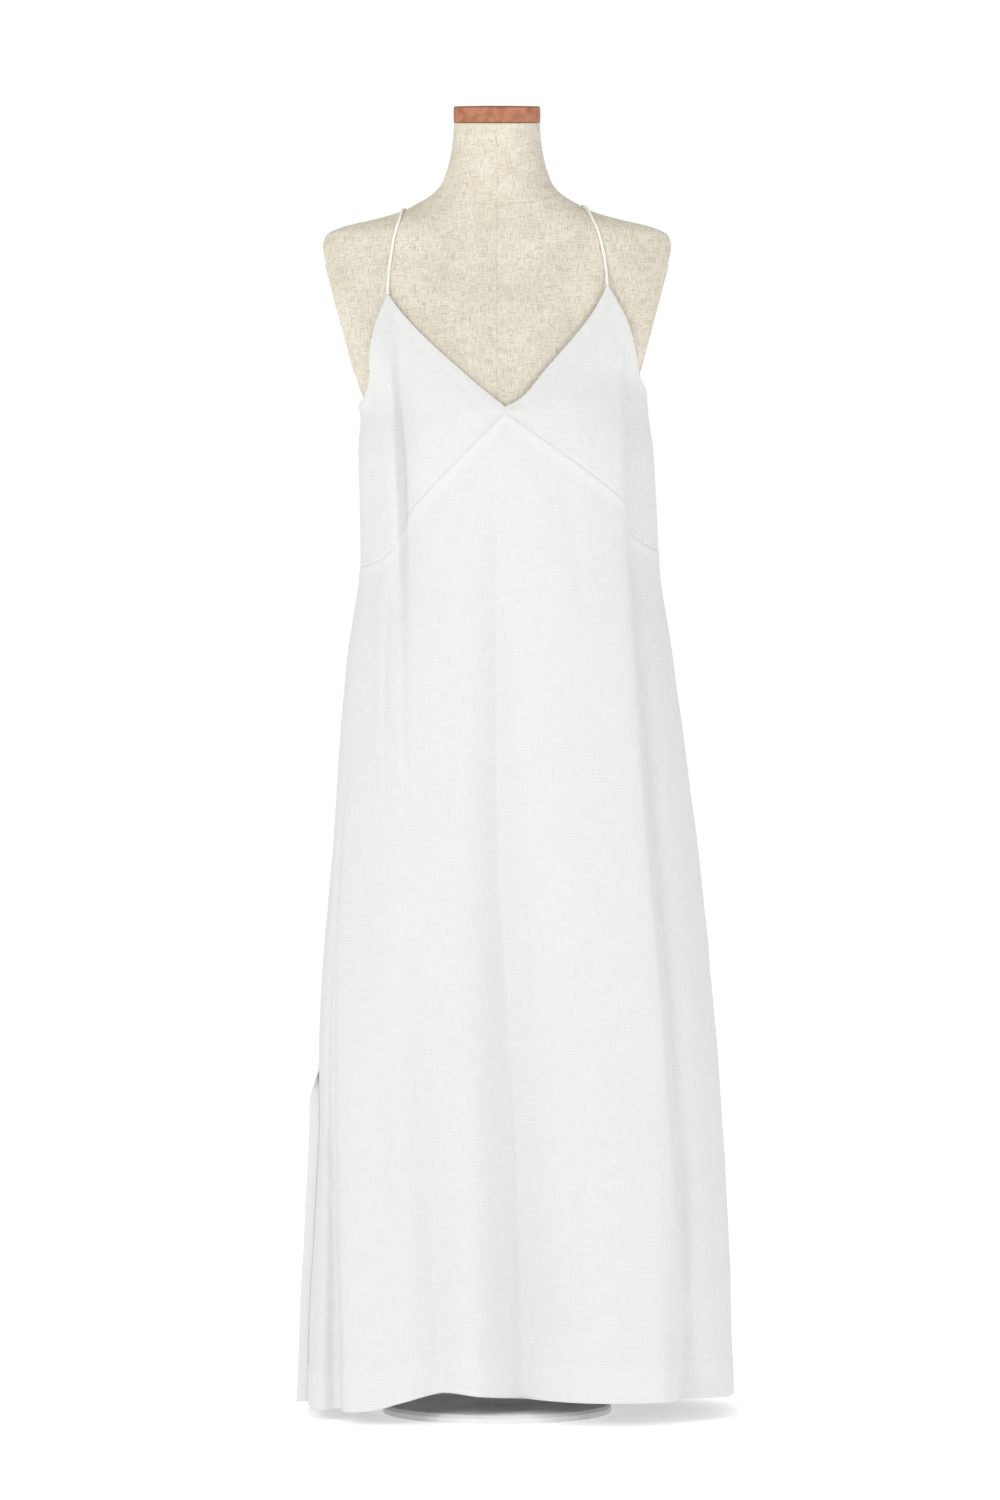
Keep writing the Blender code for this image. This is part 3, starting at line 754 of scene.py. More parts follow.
@dataclass(frozen=True)
class DressLinen:
    """White linen of one dress panel, lighter where the cloth is doubled along its edges."""

    name: str
    low_band: float = 0.0
    high_band: float = 0.0
    left_band: float = 0.0
    bands_below: float = 9.0
    bands_fade: float = 0.004
    low_paleness: float = 0.20
    high_paleness: float = 0.40
    side_paleness: float = 0.5
    single: tuple = colour(0.744, 0.744, 0.731)
    shaded: tuple = colour(0.688, 0.688, 0.674)
    doubled: tuple = colour(0.794, 0.794, 0.785)
    pitch: float = 0.0009
    warp_share: float = 0.48
    mottle_scale: float = 34.0
    mottle_share: float = 0.03
    roughness: float = 0.92
    smoother_threads: float = 0.08
    specular: float = 0.25
    sheen: float = 0.06
    sheen_roughness: float = 0.5
    stitch_groove: float = 1.6
    bump_strength: float = 0.8
    bump_depth: float = 0.00022

    def make(self, effects: Effects) -> bpy.types.Material:
        """Makes the material.

        Args:
            effects: The shared node groups.

        Returns:
            The material.
        """
        made, wire, shader = new_material(self.name)
        place, across, along = wire.uv("Weave")
        _, from_low, from_high = wire.uv("Rise")
        _, from_left, _ = wire.uv("Sides")
        weave = wire.group(
            effects.weave, Place=place, Pitch=self.pitch, Warp_Share=self.warp_share
        ).outputs
        mottle = wire.group(effects.mottle, Place=place, Scale=self.mottle_scale).outputs["Value"]
        below = wire.ramp(along, self.bands_below, self.bands_below - self.bands_fade)
        side = wire.maths("MULTIPLY", below, self.side_paleness)
        doubled, stitched = 0.0, 0.0
        for distance, run, width, paleness in (
            (from_low, across, self.low_band, self.low_paleness),
            (from_high, across, self.high_band, self.high_paleness),
            (from_left, along, self.left_band, side),
        ):
            if width > 0.0:
                band = wire.group(effects.band, Distance=distance, Along=run, Width=width)
                mask = wire.maths("MULTIPLY", band.outputs["Mask"], paleness)
                stitch = wire.maths("MULTIPLY", band.outputs["Stitch"], paleness)
                doubled = wire.maths("MAXIMUM", doubled, mask)
                stitched = wire.maths("MAXIMUM", stitched, stitch)
        tone = wire.maths("MULTIPLY_ADD", mottle, self.mottle_share, weave["Tone"])
        cloth = wire.mix(wire.ramp(tone, 0.1, 0.95), self.shaded, self.single)
        light = wire.mix(wire.ramp(tone, -0.5, 0.95), self.single, self.doubled)
        smoother = -self.smoother_threads
        crumple = wire.noise(place, (90.0, 70.0, 1.0), 3.0)
        relief = wire.maths("ADD", crumple, weave["Height"])
        relief = wire.maths("MULTIPLY_ADD", stitched, -self.stitch_groove, relief)
        wire.feed_all(
            shader,
            Base_Color=wire.mix(doubled, cloth, light),
            Roughness=wire.maths("MULTIPLY_ADD", weave["Tone"], smoother, self.roughness),
            Specular_IOR_Level=self.specular,
            Sheen_Weight=self.sheen,
            Sheen_Roughness=self.sheen_roughness,
            Normal=wire.bump(self.bump_strength, self.bump_depth, relief),
        )
        return made


@dataclass(frozen=True)
class CoverLinen:
    """Unbleached linen of the form, with brown flecks and sewn seams."""

    name: str
    pale: tuple = colour(0.790, 0.742, 0.625)
    base: tuple = colour(0.655, 0.605, 0.490)
    fleck: tuple = colour(0.330, 0.265, 0.170)
    pitch: float = 0.0011
    warp_share: float = 0.5
    mottle_scale: float = 26.0
    mottle_share: float = 0.35
    fleck_share: float = 0.44
    slub_share: float = 0.85
    seam_share: float = 0.10
    roughness: float = 0.93
    specular: float = 0.2
    sheen: float = 0.08
    fleck_relief: float = 0.7
    seam_groove: float = 0.9
    bump_strength: float = 0.9
    bump_depth: float = 0.0003

    def make(self, effects: Effects) -> bpy.types.Material:
        """Makes the material.

        Args:
            effects: The shared node groups.

        Returns:
            The material.
        """
        made, wire, shader = new_material(self.name)
        place, _, _ = wire.uv("Weave")
        _, to_seam, to_centre = wire.uv("Seams")
        weave = wire.group(
            effects.weave, Place=place, Pitch=self.pitch, Warp_Share=self.warp_share
        ).outputs
        mottle = wire.group(effects.mottle, Place=place, Scale=self.mottle_scale).outputs["Value"]
        tone = wire.maths("MULTIPLY_ADD", mottle, self.mottle_share, weave["Tone"])
        cloth = wire.mix(wire.ramp(tone, 0.15, 1.1), self.base, self.pale)
        weft = wire.ramp(wire.noise(place, (100.0, 1250.0, 3.0), 1.0), 0.54, 0.70)
        warp = wire.ramp(wire.noise(place, (1250.0, 90.0, 8.0), 1.0), 0.53, 0.69)
        slub = wire.ramp(wire.noise(place, (330.0, 760.0, 5.0), 1.0), 0.66, 0.74)
        flecks = wire.maths("MULTIPLY", wire.maths("MAXIMUM", weft, warp), self.fleck_share)
        flecks = wire.maths("MAXIMUM", flecks, wire.maths("MULTIPLY", slub, self.slub_share))
        cloth = wire.mix(flecks, cloth, self.fleck)
        lines = []
        for distance in (to_seam, to_centre):
            lines.append(wire.ramp(wire.maths("ABSOLUTE", distance), 0.0013, 0.0002))
        seam = wire.maths("MAXIMUM", *lines)
        relief = wire.maths("MULTIPLY_ADD", flecks, self.fleck_relief, weave["Height"])
        relief = wire.maths("MULTIPLY_ADD", seam, -self.seam_groove, relief)
        wire.feed_all(
            shader,
            Base_Color=wire.mix(wire.maths("MULTIPLY", seam, self.seam_share), cloth, self.fleck),
            Roughness=wire.maths("MULTIPLY_ADD", flecks, -0.1, self.roughness),
            Specular_IOR_Level=self.specular,
            Sheen_Weight=self.sheen,
            Normal=wire.bump(self.bump_strength, self.bump_depth, relief),
        )
        return made


@dataclass(frozen=True)
class CapLeather:
    """Tan leather of the neck cap, mottled, finely grained and darker along its top and bottom
    edges, its lid and its underside.
    """

    name: str
    light: tuple = colour(0.480, 0.188, 0.088)
    base: tuple = colour(0.275, 0.088, 0.038)
    dark: tuple = colour(0.130, 0.040, 0.020)
    mottle_scale: float = 95.0
    streak_share: float = 0.7
    edge_share: float = 0.85
    grain_scale: float = 900.0
    grain_roughness: float = 0.2
    roughness: float = 0.42
    mottle_relief: float = 0.8
    bump_strength: float = 0.5
    bump_depth: float = 0.00018

    def make(self, effects: Effects) -> bpy.types.Material:
        """Makes the material.

        Args:
            effects: The shared node groups.

        Returns:
            The material.
        """
        made, wire, shader = new_material(self.name)
        place, _, _ = wire.uv("Weave")
        _, from_low, from_high = wire.uv("Rise")
        mottle = wire.group(effects.mottle, Place=place, Scale=self.mottle_scale).outputs["Value"]
        streaks = wire.noise(place, (60.0, 260.0, 1.0), 4.0)
        tone = wire.maths("MULTIPLY_ADD", streaks, self.streak_share, mottle)
        hide = wire.mix(wire.ramp(tone, -0.20, 1.55), self.base, self.light)
        edges = []
        for distance in (from_low, from_high):
            edges.append(wire.ramp(wire.maths("ABSOLUTE", distance), 0.0016, 0.0003))
        edge = wire.maths("MULTIPLY", wire.maths("MAXIMUM", *edges), self.edge_share)
        cells = wire.add("ShaderNodeTexVoronoi", {"Vector": place, "Scale": self.grain_scale})
        grain = cells.outputs["Distance"]
        relief = wire.maths("MULTIPLY_ADD", mottle, self.mottle_relief, grain)
        wire.feed_all(
            shader,
            Base_Color=wire.mix(edge, hide, self.dark),
            Roughness=wire.maths("MULTIPLY_ADD", grain, self.grain_roughness, self.roughness),
            Normal=wire.bump(self.bump_strength, self.bump_depth, relief),
        )
        return made


@dataclass(frozen=True)
class PaleEnamel:
    """Pale enamel of the stand, with a faint orange peel and a little dust."""

    name: str
    clean: tuple = colour(0.80, 0.80, 0.79)
    dusty: tuple = colour(0.72, 0.715, 0.70)
    dust_scale: float = 18.0
    dust_roughness: float = 0.2
    roughness: float = 0.32
    peel_scale: float = 420.0
    bump_strength: float = 0.3
    bump_depth: float = 0.0001

    def make(self, effects: Effects) -> bpy.types.Material:
        """Makes the material.

        Args:
            effects: The shared node groups.

        Returns:
            The material.
        """
        made, wire, shader = new_material(self.name)
        place = wire.add("ShaderNodeTexCoord", {}).outputs["Object"]
        dust = wire.group(effects.mottle, Place=place, Scale=self.dust_scale).outputs["Value"]
        peel = wire.group(effects.mottle, Place=place, Scale=self.peel_scale).outputs["Value"]
        wire.feed_all(
            shader,
            Base_Color=wire.mix(dust, self.clean, self.dusty),
            Roughness=wire.maths("MULTIPLY_ADD", dust, self.dust_roughness, self.roughness),
            Normal=wire.bump(self.bump_strength, self.bump_depth, peel),
        )
        return made


@dataclass(frozen=True)
class StudioFloor:
    """Matt white floor, lit a little from within so that it fades into the white behind it."""

    name: str
    glow: float = 0.53
    grey: tuple = colour(0.90, 0.90, 0.90)
    white: tuple = colour(0.92, 0.92, 0.92)
    roughness: float = 0.9
    specular: float = 0.1

    def make(self) -> bpy.types.Material:
        """Makes the material.

        Returns:
            The material.
        """
        made, wire, shader = new_material(self.name)
        place = wire.add("ShaderNodeTexCoord", {}).outputs["Object"]
        shade = wire.noise(place, (3.0, 3.0, 3.0), 2.0)
        mixed = wire.mix(shade, self.grey, self.white)
        wire.feed_all(
            shader,
            Base_Color=mixed,
            Emission_Color=mixed,
            Emission_Strength=self.glow,
            Roughness=self.roughness,
            Specular_IOR_Level=self.specular,
        )
        return made


# The dress form


@dataclass
class DressForm:
    """The limbless form: torso and neck, two armhole plates and the leather neck cap."""

    around: int = 240
    rows: int = 260
    row_shares: tuple[float, ...] = (0.0, 0.36, 0.58, 0.80, 1.0)
    row_heights: tuple[float, ...] = (0.530, 1.060, 1.222, 1.275, 1.3505)
    plate_around: int = 96
    cap_around: int = 240
    neck_top: float = 1.3505
    neck_seam: float = 1.2614
    neck_seam_rise: float = 0.036
    neck_seam_power: float = 1.4
    neck_tilt: float = 0.11
    tilt_from: float = 1.290
    plate_centre: float = 1.146
    plane_centre: float = 1.150
    plate_x: float = 0.1653
    plate_slope: float = 0.266
    plate_half_length: float = 0.0615
    plate_half_depth: float = 0.043
    plate_taper: float = 0.22
    plate_thickness: float = 0.0039
    plate_recess: float = 0.0042
    plate_proud: float = 0.0006
    pocket_share: float = 0.90
    pocket_ramp: float = 0.06
    arm_rounding: float = 0.0036
    rounding_top: float = 1.25
    rounding_ramp: float = 0.02
    plane_reach: float = 0.03
    surface_step: float = 0.0005
    cap_height: float = 0.0175
    cap_gap: float = 0.0003
    cap_overhang: float = 0.0006
    cap_rounding: float = 0.0014
    shoulder_facing: tuple[float, float] = (0.45, 0.89)

    def point(self, turn: Array, height: Array) -> Array:
        """Points of the form's surface.

        x is the half width times cos, y the middle less the depth times sin, both times the
        superellipse's scale. x is held inside the leaning planes of the armhole plates with a
        rounded edge, (x + plane - sqrt((x - plane)^2 + rounding^2)) / 2, and drops into a shallow
        pocket under each plate. The neck's sections lean forward with y.

        Args:
            turn: From 0 at the right side over the front to 1.
            height: The section's height.

        Returns:
            The points.
        """
        angle = 2.0 * math.pi * turn
        across, along = np.cos(angle), np.sin(angle)
        middle = column(FORM_SECTIONS, "middle", height)
        front = middle - column(FORM_SECTIONS, "front", height)
        back = column(FORM_SECTIONS, "back", height) - middle
        scale = corner_scale(across, along, column(FORM_SECTIONS, "squareness", height))
        x = column(FORM_SECTIONS, "half_width", height) * across * scale
        y = middle - np.where(along > 0.0, front, back) * along * scale
        plane = self.plate_x + self.plate_slope * (height - self.plane_centre)
        rounding = self.arm_rounding * smooth((self.rounding_top - height) / self.rounding_ramp)
        held = (np.abs(x) + plane - np.hypot(np.abs(x) - plane, rounding)) / 2.0
        half_height = self.plate_half_length * math.cos(math.atan(self.plate_slope))
        up = (height - self.plate_centre) / half_height
        taper = 1.0 - self.plate_taper * np.clip(up, -1.0, 1.0)
        from_plate = np.hypot(up, y / (self.plate_half_depth * taper))
        inside = smooth((self.pocket_share - from_plate) / self.pocket_ramp + 0.5)
        held = held - self.plate_recess * inside
        x = np.where(plane < np.abs(x) + self.plane_reach, np.sign(x) * held, x)
        lean = self.neck_tilt * smooth((height - self.tilt_from) / (self.neck_top - self.tilt_from))
        return np.stack([x, y, height + lean * (y - middle)], axis=-1)

    def surface(self, x: float, height: float, side: int) -> Array:
        """A point of the form's surface: y = middle + (face - middle) * (1 - |x / half|^n)^(1/n).

        Args:
            x: Its x in the front view.
            height: Its height.
            side: -1 for the front, 1 for the back.

        Returns:
            The point.
        """
        half_width = column(FORM_SECTIONS, "half_width", height)
        squareness = column(FORM_SECTIONS, "squareness", height)
        middle = column(FORM_SECTIONS, "middle", height)
        face = column(FORM_SECTIONS, "back" if side > 0 else "front", height)
        share = max(0.0, 1.0 - abs(x / half_width) ** squareness) ** (1.0 / squareness)
        return np.array([x, middle + (face - middle) * share, height])

    def over(self, x: float, height: float, side: int, clearance: float) -> Array:
        """A point of the form's surface, moved out by a clearance.

        On the shoulder ridge it moves in the ridge's fixed direction. On the front and back it
        moves along the normal, the cross product of two short steps on the surface.

        Args:
            x: Its x in the front view.
            height: Its height.
            side: -1 for the front, 0 for the shoulder ridge, 1 for the back.
            clearance: How far it is moved out.

        Returns:
            The moved point.
        """
        if side == 0:
            ridge = np.array([x, float(column(FORM_SECTIONS, "middle", height)), height])
            outward, upward = self.shoulder_facing
            return ridge + clearance * np.array([math.copysign(outward, x), 0.0, upward])
        step = self.surface_step
        inward = math.copysign(step, x) if x else step
        here = self.surface(x, height, side)
        sideways = (here - self.surface(x - inward, height, side)) / inward
        upwards = (self.surface(x, height - step, side) - here) / -step
        normal = np.cross(sideways, upwards)
        normal *= side * math.copysign(1.0, normal[1]) / np.linalg.norm(normal)
        return here + clearance * normal

    def torso(self, material: bpy.types.Material) -> bpy.types.Object:
        """Makes torso and neck as rings from the flat underside to the top of the neck.

        The rings lie closer together over the shoulders, where the form closes in. The seam map
        holds the distance to the neck seam, which rises from front to back with a power of the
        sine of half the angle from the front, and the distance to the centre line.

        Args:
            material: The cover's material.

        Returns:
            The torso.
        """
        even = np.linspace(0.0, 1.0, self.rows)
        heights = through(self.row_shares, self.row_heights, even)
        turn = np.arange(self.around) / self.around
        points = self.point(turn[None, :], heights[:, None])
        closed = wrapped(points)
        round_length = run_length(closed, 1)
        quarter = round_length[:, self.around // 4][:, None]
        upright = np.broadcast_to(closed[..., 2], round_length.shape)
        weave = np.stack([round_length - quarter, upright], axis=-1)
        turns = np.append(turn, 1.0)
        from_front = np.abs(turns - 0.25)
        from_front = np.minimum(from_front, 1.0 - from_front) * 2.0 * math.pi
        rise = self.neck_seam_rise * np.sin(from_front / 2.0) ** self.neck_seam_power
        seam = self.neck_seam + rise
        to_seam = np.broadcast_to(heights[:, None] - seam[None, :], round_length.shape)
        half = round_length[:, -1:] / 2.0
        to_centre = np.abs(round_length - quarter)
        to_centre = np.minimum(to_centre, np.abs(half - to_centre))
        seams = np.stack([to_seam, to_centre], axis=-1)
        return ring_object("torso_cover", points, {"Weave": weave, "Seams": seams}, material)

    def disc(self, profile: Array, around: int) -> tuple[Array, Array]:
        """Carries a profile round in a circle: (radius * cos, radius * sin, height).

        Args:
            profile: Rows of radius and height.
            around: The number of places round the circle.

        Returns:
            The points, rows by places, and the angle of each place.
        """
        angle = 2.0 * math.pi * np.arange(around) / around
        across, along = profile[:, :1] * np.cos(angle), profile[:, :1] * np.sin(angle)
        height = np.broadcast_to(profile[:, 1:], across.shape)
        return np.stack([across, along, height], axis=-1), angle

    def arm_plate(self, name: str, side: int, material: bpy.types.Material) -> bpy.types.Object:
        """Makes the egg-shaped disc over an armhole, slightly crowned, with a corded rim.

        The face falls by crown * radius^2 from the middle and carries the cord as a bead,
        exp(-((radius - place) / width)^2), before the edge turns down. The disc is scaled to the
        egg and leant by the plate's slope.

        Args:
            name: The piece's name.
            side: -1 for left, 1 for right.
            material: The cover's material.

        Returns:
            The plate.
        """
        bead_height, bead_place, bead_width = 0.0004, 0.945, 0.022
        edge_drop, edge_place, edge_width = 1.2, 0.955, 0.045
        crown, seam_place, weave_apart = 0.3, 0.915, 0.3
        half = self.plate_thickness / 2.0
        radius = np.concatenate([np.linspace(0.02, 0.90, 14), np.linspace(0.92, 1.0, 7)])
        bead = bead_height * np.exp(-(((radius - bead_place) / bead_width) ** 2))
        edge = half * edge_drop * smooth((radius - edge_place) / edge_width)
        outer = half + self.plate_proud * (1.0 - crown * radius**2) + bead - edge
        back = np.linspace(1.0, 0.02, 8)
        front_rows, back_rows = (radius, outer), (back, np.full_like(back, -half))
        profile = np.concatenate([np.stack(front_rows, 1), np.stack(back_rows, 1)])
        points, _ = self.disc(profile, self.plate_around)
        flat = points * np.array([self.plate_half_length, self.plate_half_depth, 1.0])
        flat[..., 1] *= 1.0 + self.plate_taper * points[..., 0]
        lean = math.atan(self.plate_slope)
        cosine, sine = math.cos(lean), math.sin(lean)
        down, out = flat[..., 0], flat[..., 2]
        x = self.plate_x + self.plate_slope * (self.plate_centre - self.plane_centre)
        x = x - half * cosine - down * sine + out * cosine
        z = self.plate_centre + half * sine - down * cosine - out * sine
        placed = np.stack([side * x, flat[..., 1], z], axis=-1)
        weave = wrapped(np.stack([flat[..., 1] + side * weave_apart, z], axis=-1))
        inward = (seam_place - profile[:, :1]) * self.plate_half_depth
        rim = np.broadcast_to(inward, weave.shape[:2])
        seams = np.stack([rim, np.full_like(rim, 1.0)], axis=-1)
        return ring_object(name, placed, {"Weave": weave, "Seams": seams}, material)

    def neck_cap(self, material: bpy.types.Material) -> bpy.types.Object:
        """Makes the cap: a band of leather round the neck's top outline under a slightly domed lid.

        The band bulges by a sine over its height. Its end laps over its start along a slanting
        line at the front: the lap is a step in radius.

        Args:
            material: The leather.

        Returns:
            The cap.
        """
        bulge, doming = 0.006, 0.0006
        lap_place, lap_slant, lap_lift, lap_edge = -0.0020, 0.0018, 0.0005, 0.0009
        lap_end, lap_fade = 0.018, 0.016
        groove_off, groove_width, groove_depth = 0.0004, 0.0005, 0.0004
        top = FORM_SECTIONS[-1]
        half, soft = self.cap_height / 2.0, self.cap_rounding
        corner = np.linspace(0.0, math.pi / 2.0, 5)
        rise = np.linspace(-half + soft, half - soft, 16)
        unit = top.half_width
        by_sine, by_cosine = 1.0 - np.sin(corner), 1.0 - np.cos(corner)
        low = np.stack([1.0 - soft / unit * by_sine, -half + soft * by_cosine], 1)
        bulged = 1.0 + bulge * np.sin(math.pi * (rise + half) / (2.0 * half))
        side = np.stack([bulged, rise], 1)
        high = np.stack([1.0 - soft / unit * by_cosine, half - soft * by_sine], 1)
        lid = np.linspace(0.95, 0.02, 10)
        dome = np.stack([lid, half + doming * (1.0 - lid**2)], 1)
        profile = np.concatenate([[[0.02, -half], [0.6, -half]], low, side[1:-1], high, dome])
        points, angle = self.disc(profile, self.cap_around)
        height = points[..., 2]
        lap_x = lap_place - lap_slant * height / half
        x = (top.half_width + self.cap_overhang) * points[..., 0]
        on_front = points[..., 1] > 0.0
        raised = smooth((x - lap_x) / lap_edge) * smooth((lap_end - x) / lap_fade)
        lap = np.where(on_front, raised, 0.0)
        beside = np.exp(-(((x - lap_x + groove_off) / groove_width) ** 2))
        groove = np.where(on_front, beside, 0.0)
        step = lap_lift * lap - groove_depth * groove
        scale = 1.0 + step / unit * (points[..., :2] ** 2).sum(-1)
        depth = (top.back - top.front) / 2.0 + self.cap_overhang
        centre = (top.front + top.back) / 2.0
        x, y = x * scale, -depth * points[..., 1] * scale
        tilt = math.atan(self.neck_tilt)
        rise_to = self.neck_top + self.neck_tilt * (centre - top.middle) + self.cap_gap + half
        y_turned = y * math.cos(tilt) - height * math.sin(tilt)
        z_turned = y * math.sin(tilt) + height * math.cos(tilt)
        placed = np.stack([x, centre + y_turned, rise_to + z_turned], axis=-1)
        outline = np.stack([profile[:, :1] * unit, profile[:, 1:]], axis=-1)
        run = np.broadcast_to(run_length(outline, 0), x.shape)
        weave = np.stack([np.broadcast_to(angle * unit, x.shape), run], axis=-1)
        weave = np.concatenate([weave, weave[:, :1] + [[[2.0 * math.pi * unit, 0.0]]]], axis=1)
        edges = np.stack([height + half, half - height], axis=-1)
        return ring_object("neck_band", placed, {"Weave": weave, "Rise": wrapped(edges)}, material)


# The dress


@dataclass(frozen=True)
class Fold:
    """A long fold through its points, listed from low to high.

    Away from the fold by a distance a, a round fold lifts the cloth by lift * exp(-(a / width)^2),
    and a sharp one by lift * exp(tip - sqrt((a / width)^2 + tip^2)). A lapped one keeps its crest
    up to the line, drops by the crest and the drop within the edge, and recovers over the other
    width. A forward fold lifts the cloth straight away from the form's middle plane instead of
    along the section's outward direction.
    """

    lay: Lay
    points: tuple[FoldPoint, ...]
    drop: float = 1.0
    edge: float = 0.005
    tip: float = 0.15
    forward: bool = False

    def lift(self, away: Array, height: Array) -> Array:
        """The fold's lift.

        Args:
            away: The signed distance from the fold, positive to its right.
            height: The height of each point.

        Returns:
            How far the fold moves the cloth outwards.
        """
        strength = column(self.points, "lift", height)
        left = column(self.points, "left", height)
        right = column(self.points, "right", height)
        if self.lay is Lay.ROUND:
            return strength * np.exp(-((away / np.where(away < 0.0, left, right)) ** 2))
        if self.lay is Lay.SHARP:
            part = away / np.where(away < 0.0, left, right)
            return strength * np.exp(self.tip - np.sqrt(part**2 + self.tip**2))
        if self.lay is Lay.LAP_LEFT:
            away, left, right = -away, right, left
        crest = np.exp(-((np.minimum(away, 0.0) / left) ** 2))
        under = np.exp(-np.maximum(away - self.edge, 0.0) / right) * self.drop
        fallen = smooth(away / self.edge)
        return strength * (crest * (1.0 - fallen) - under * fallen)


def make_fold(lay: Lay, *places: tuple[float, ...], **settings: float | bool) -> Fold:
    """Makes a fold from the rows of its points, low to high, and its own settings."""
    return Fold(lay, table_of(FoldPoint, *places), **settings)


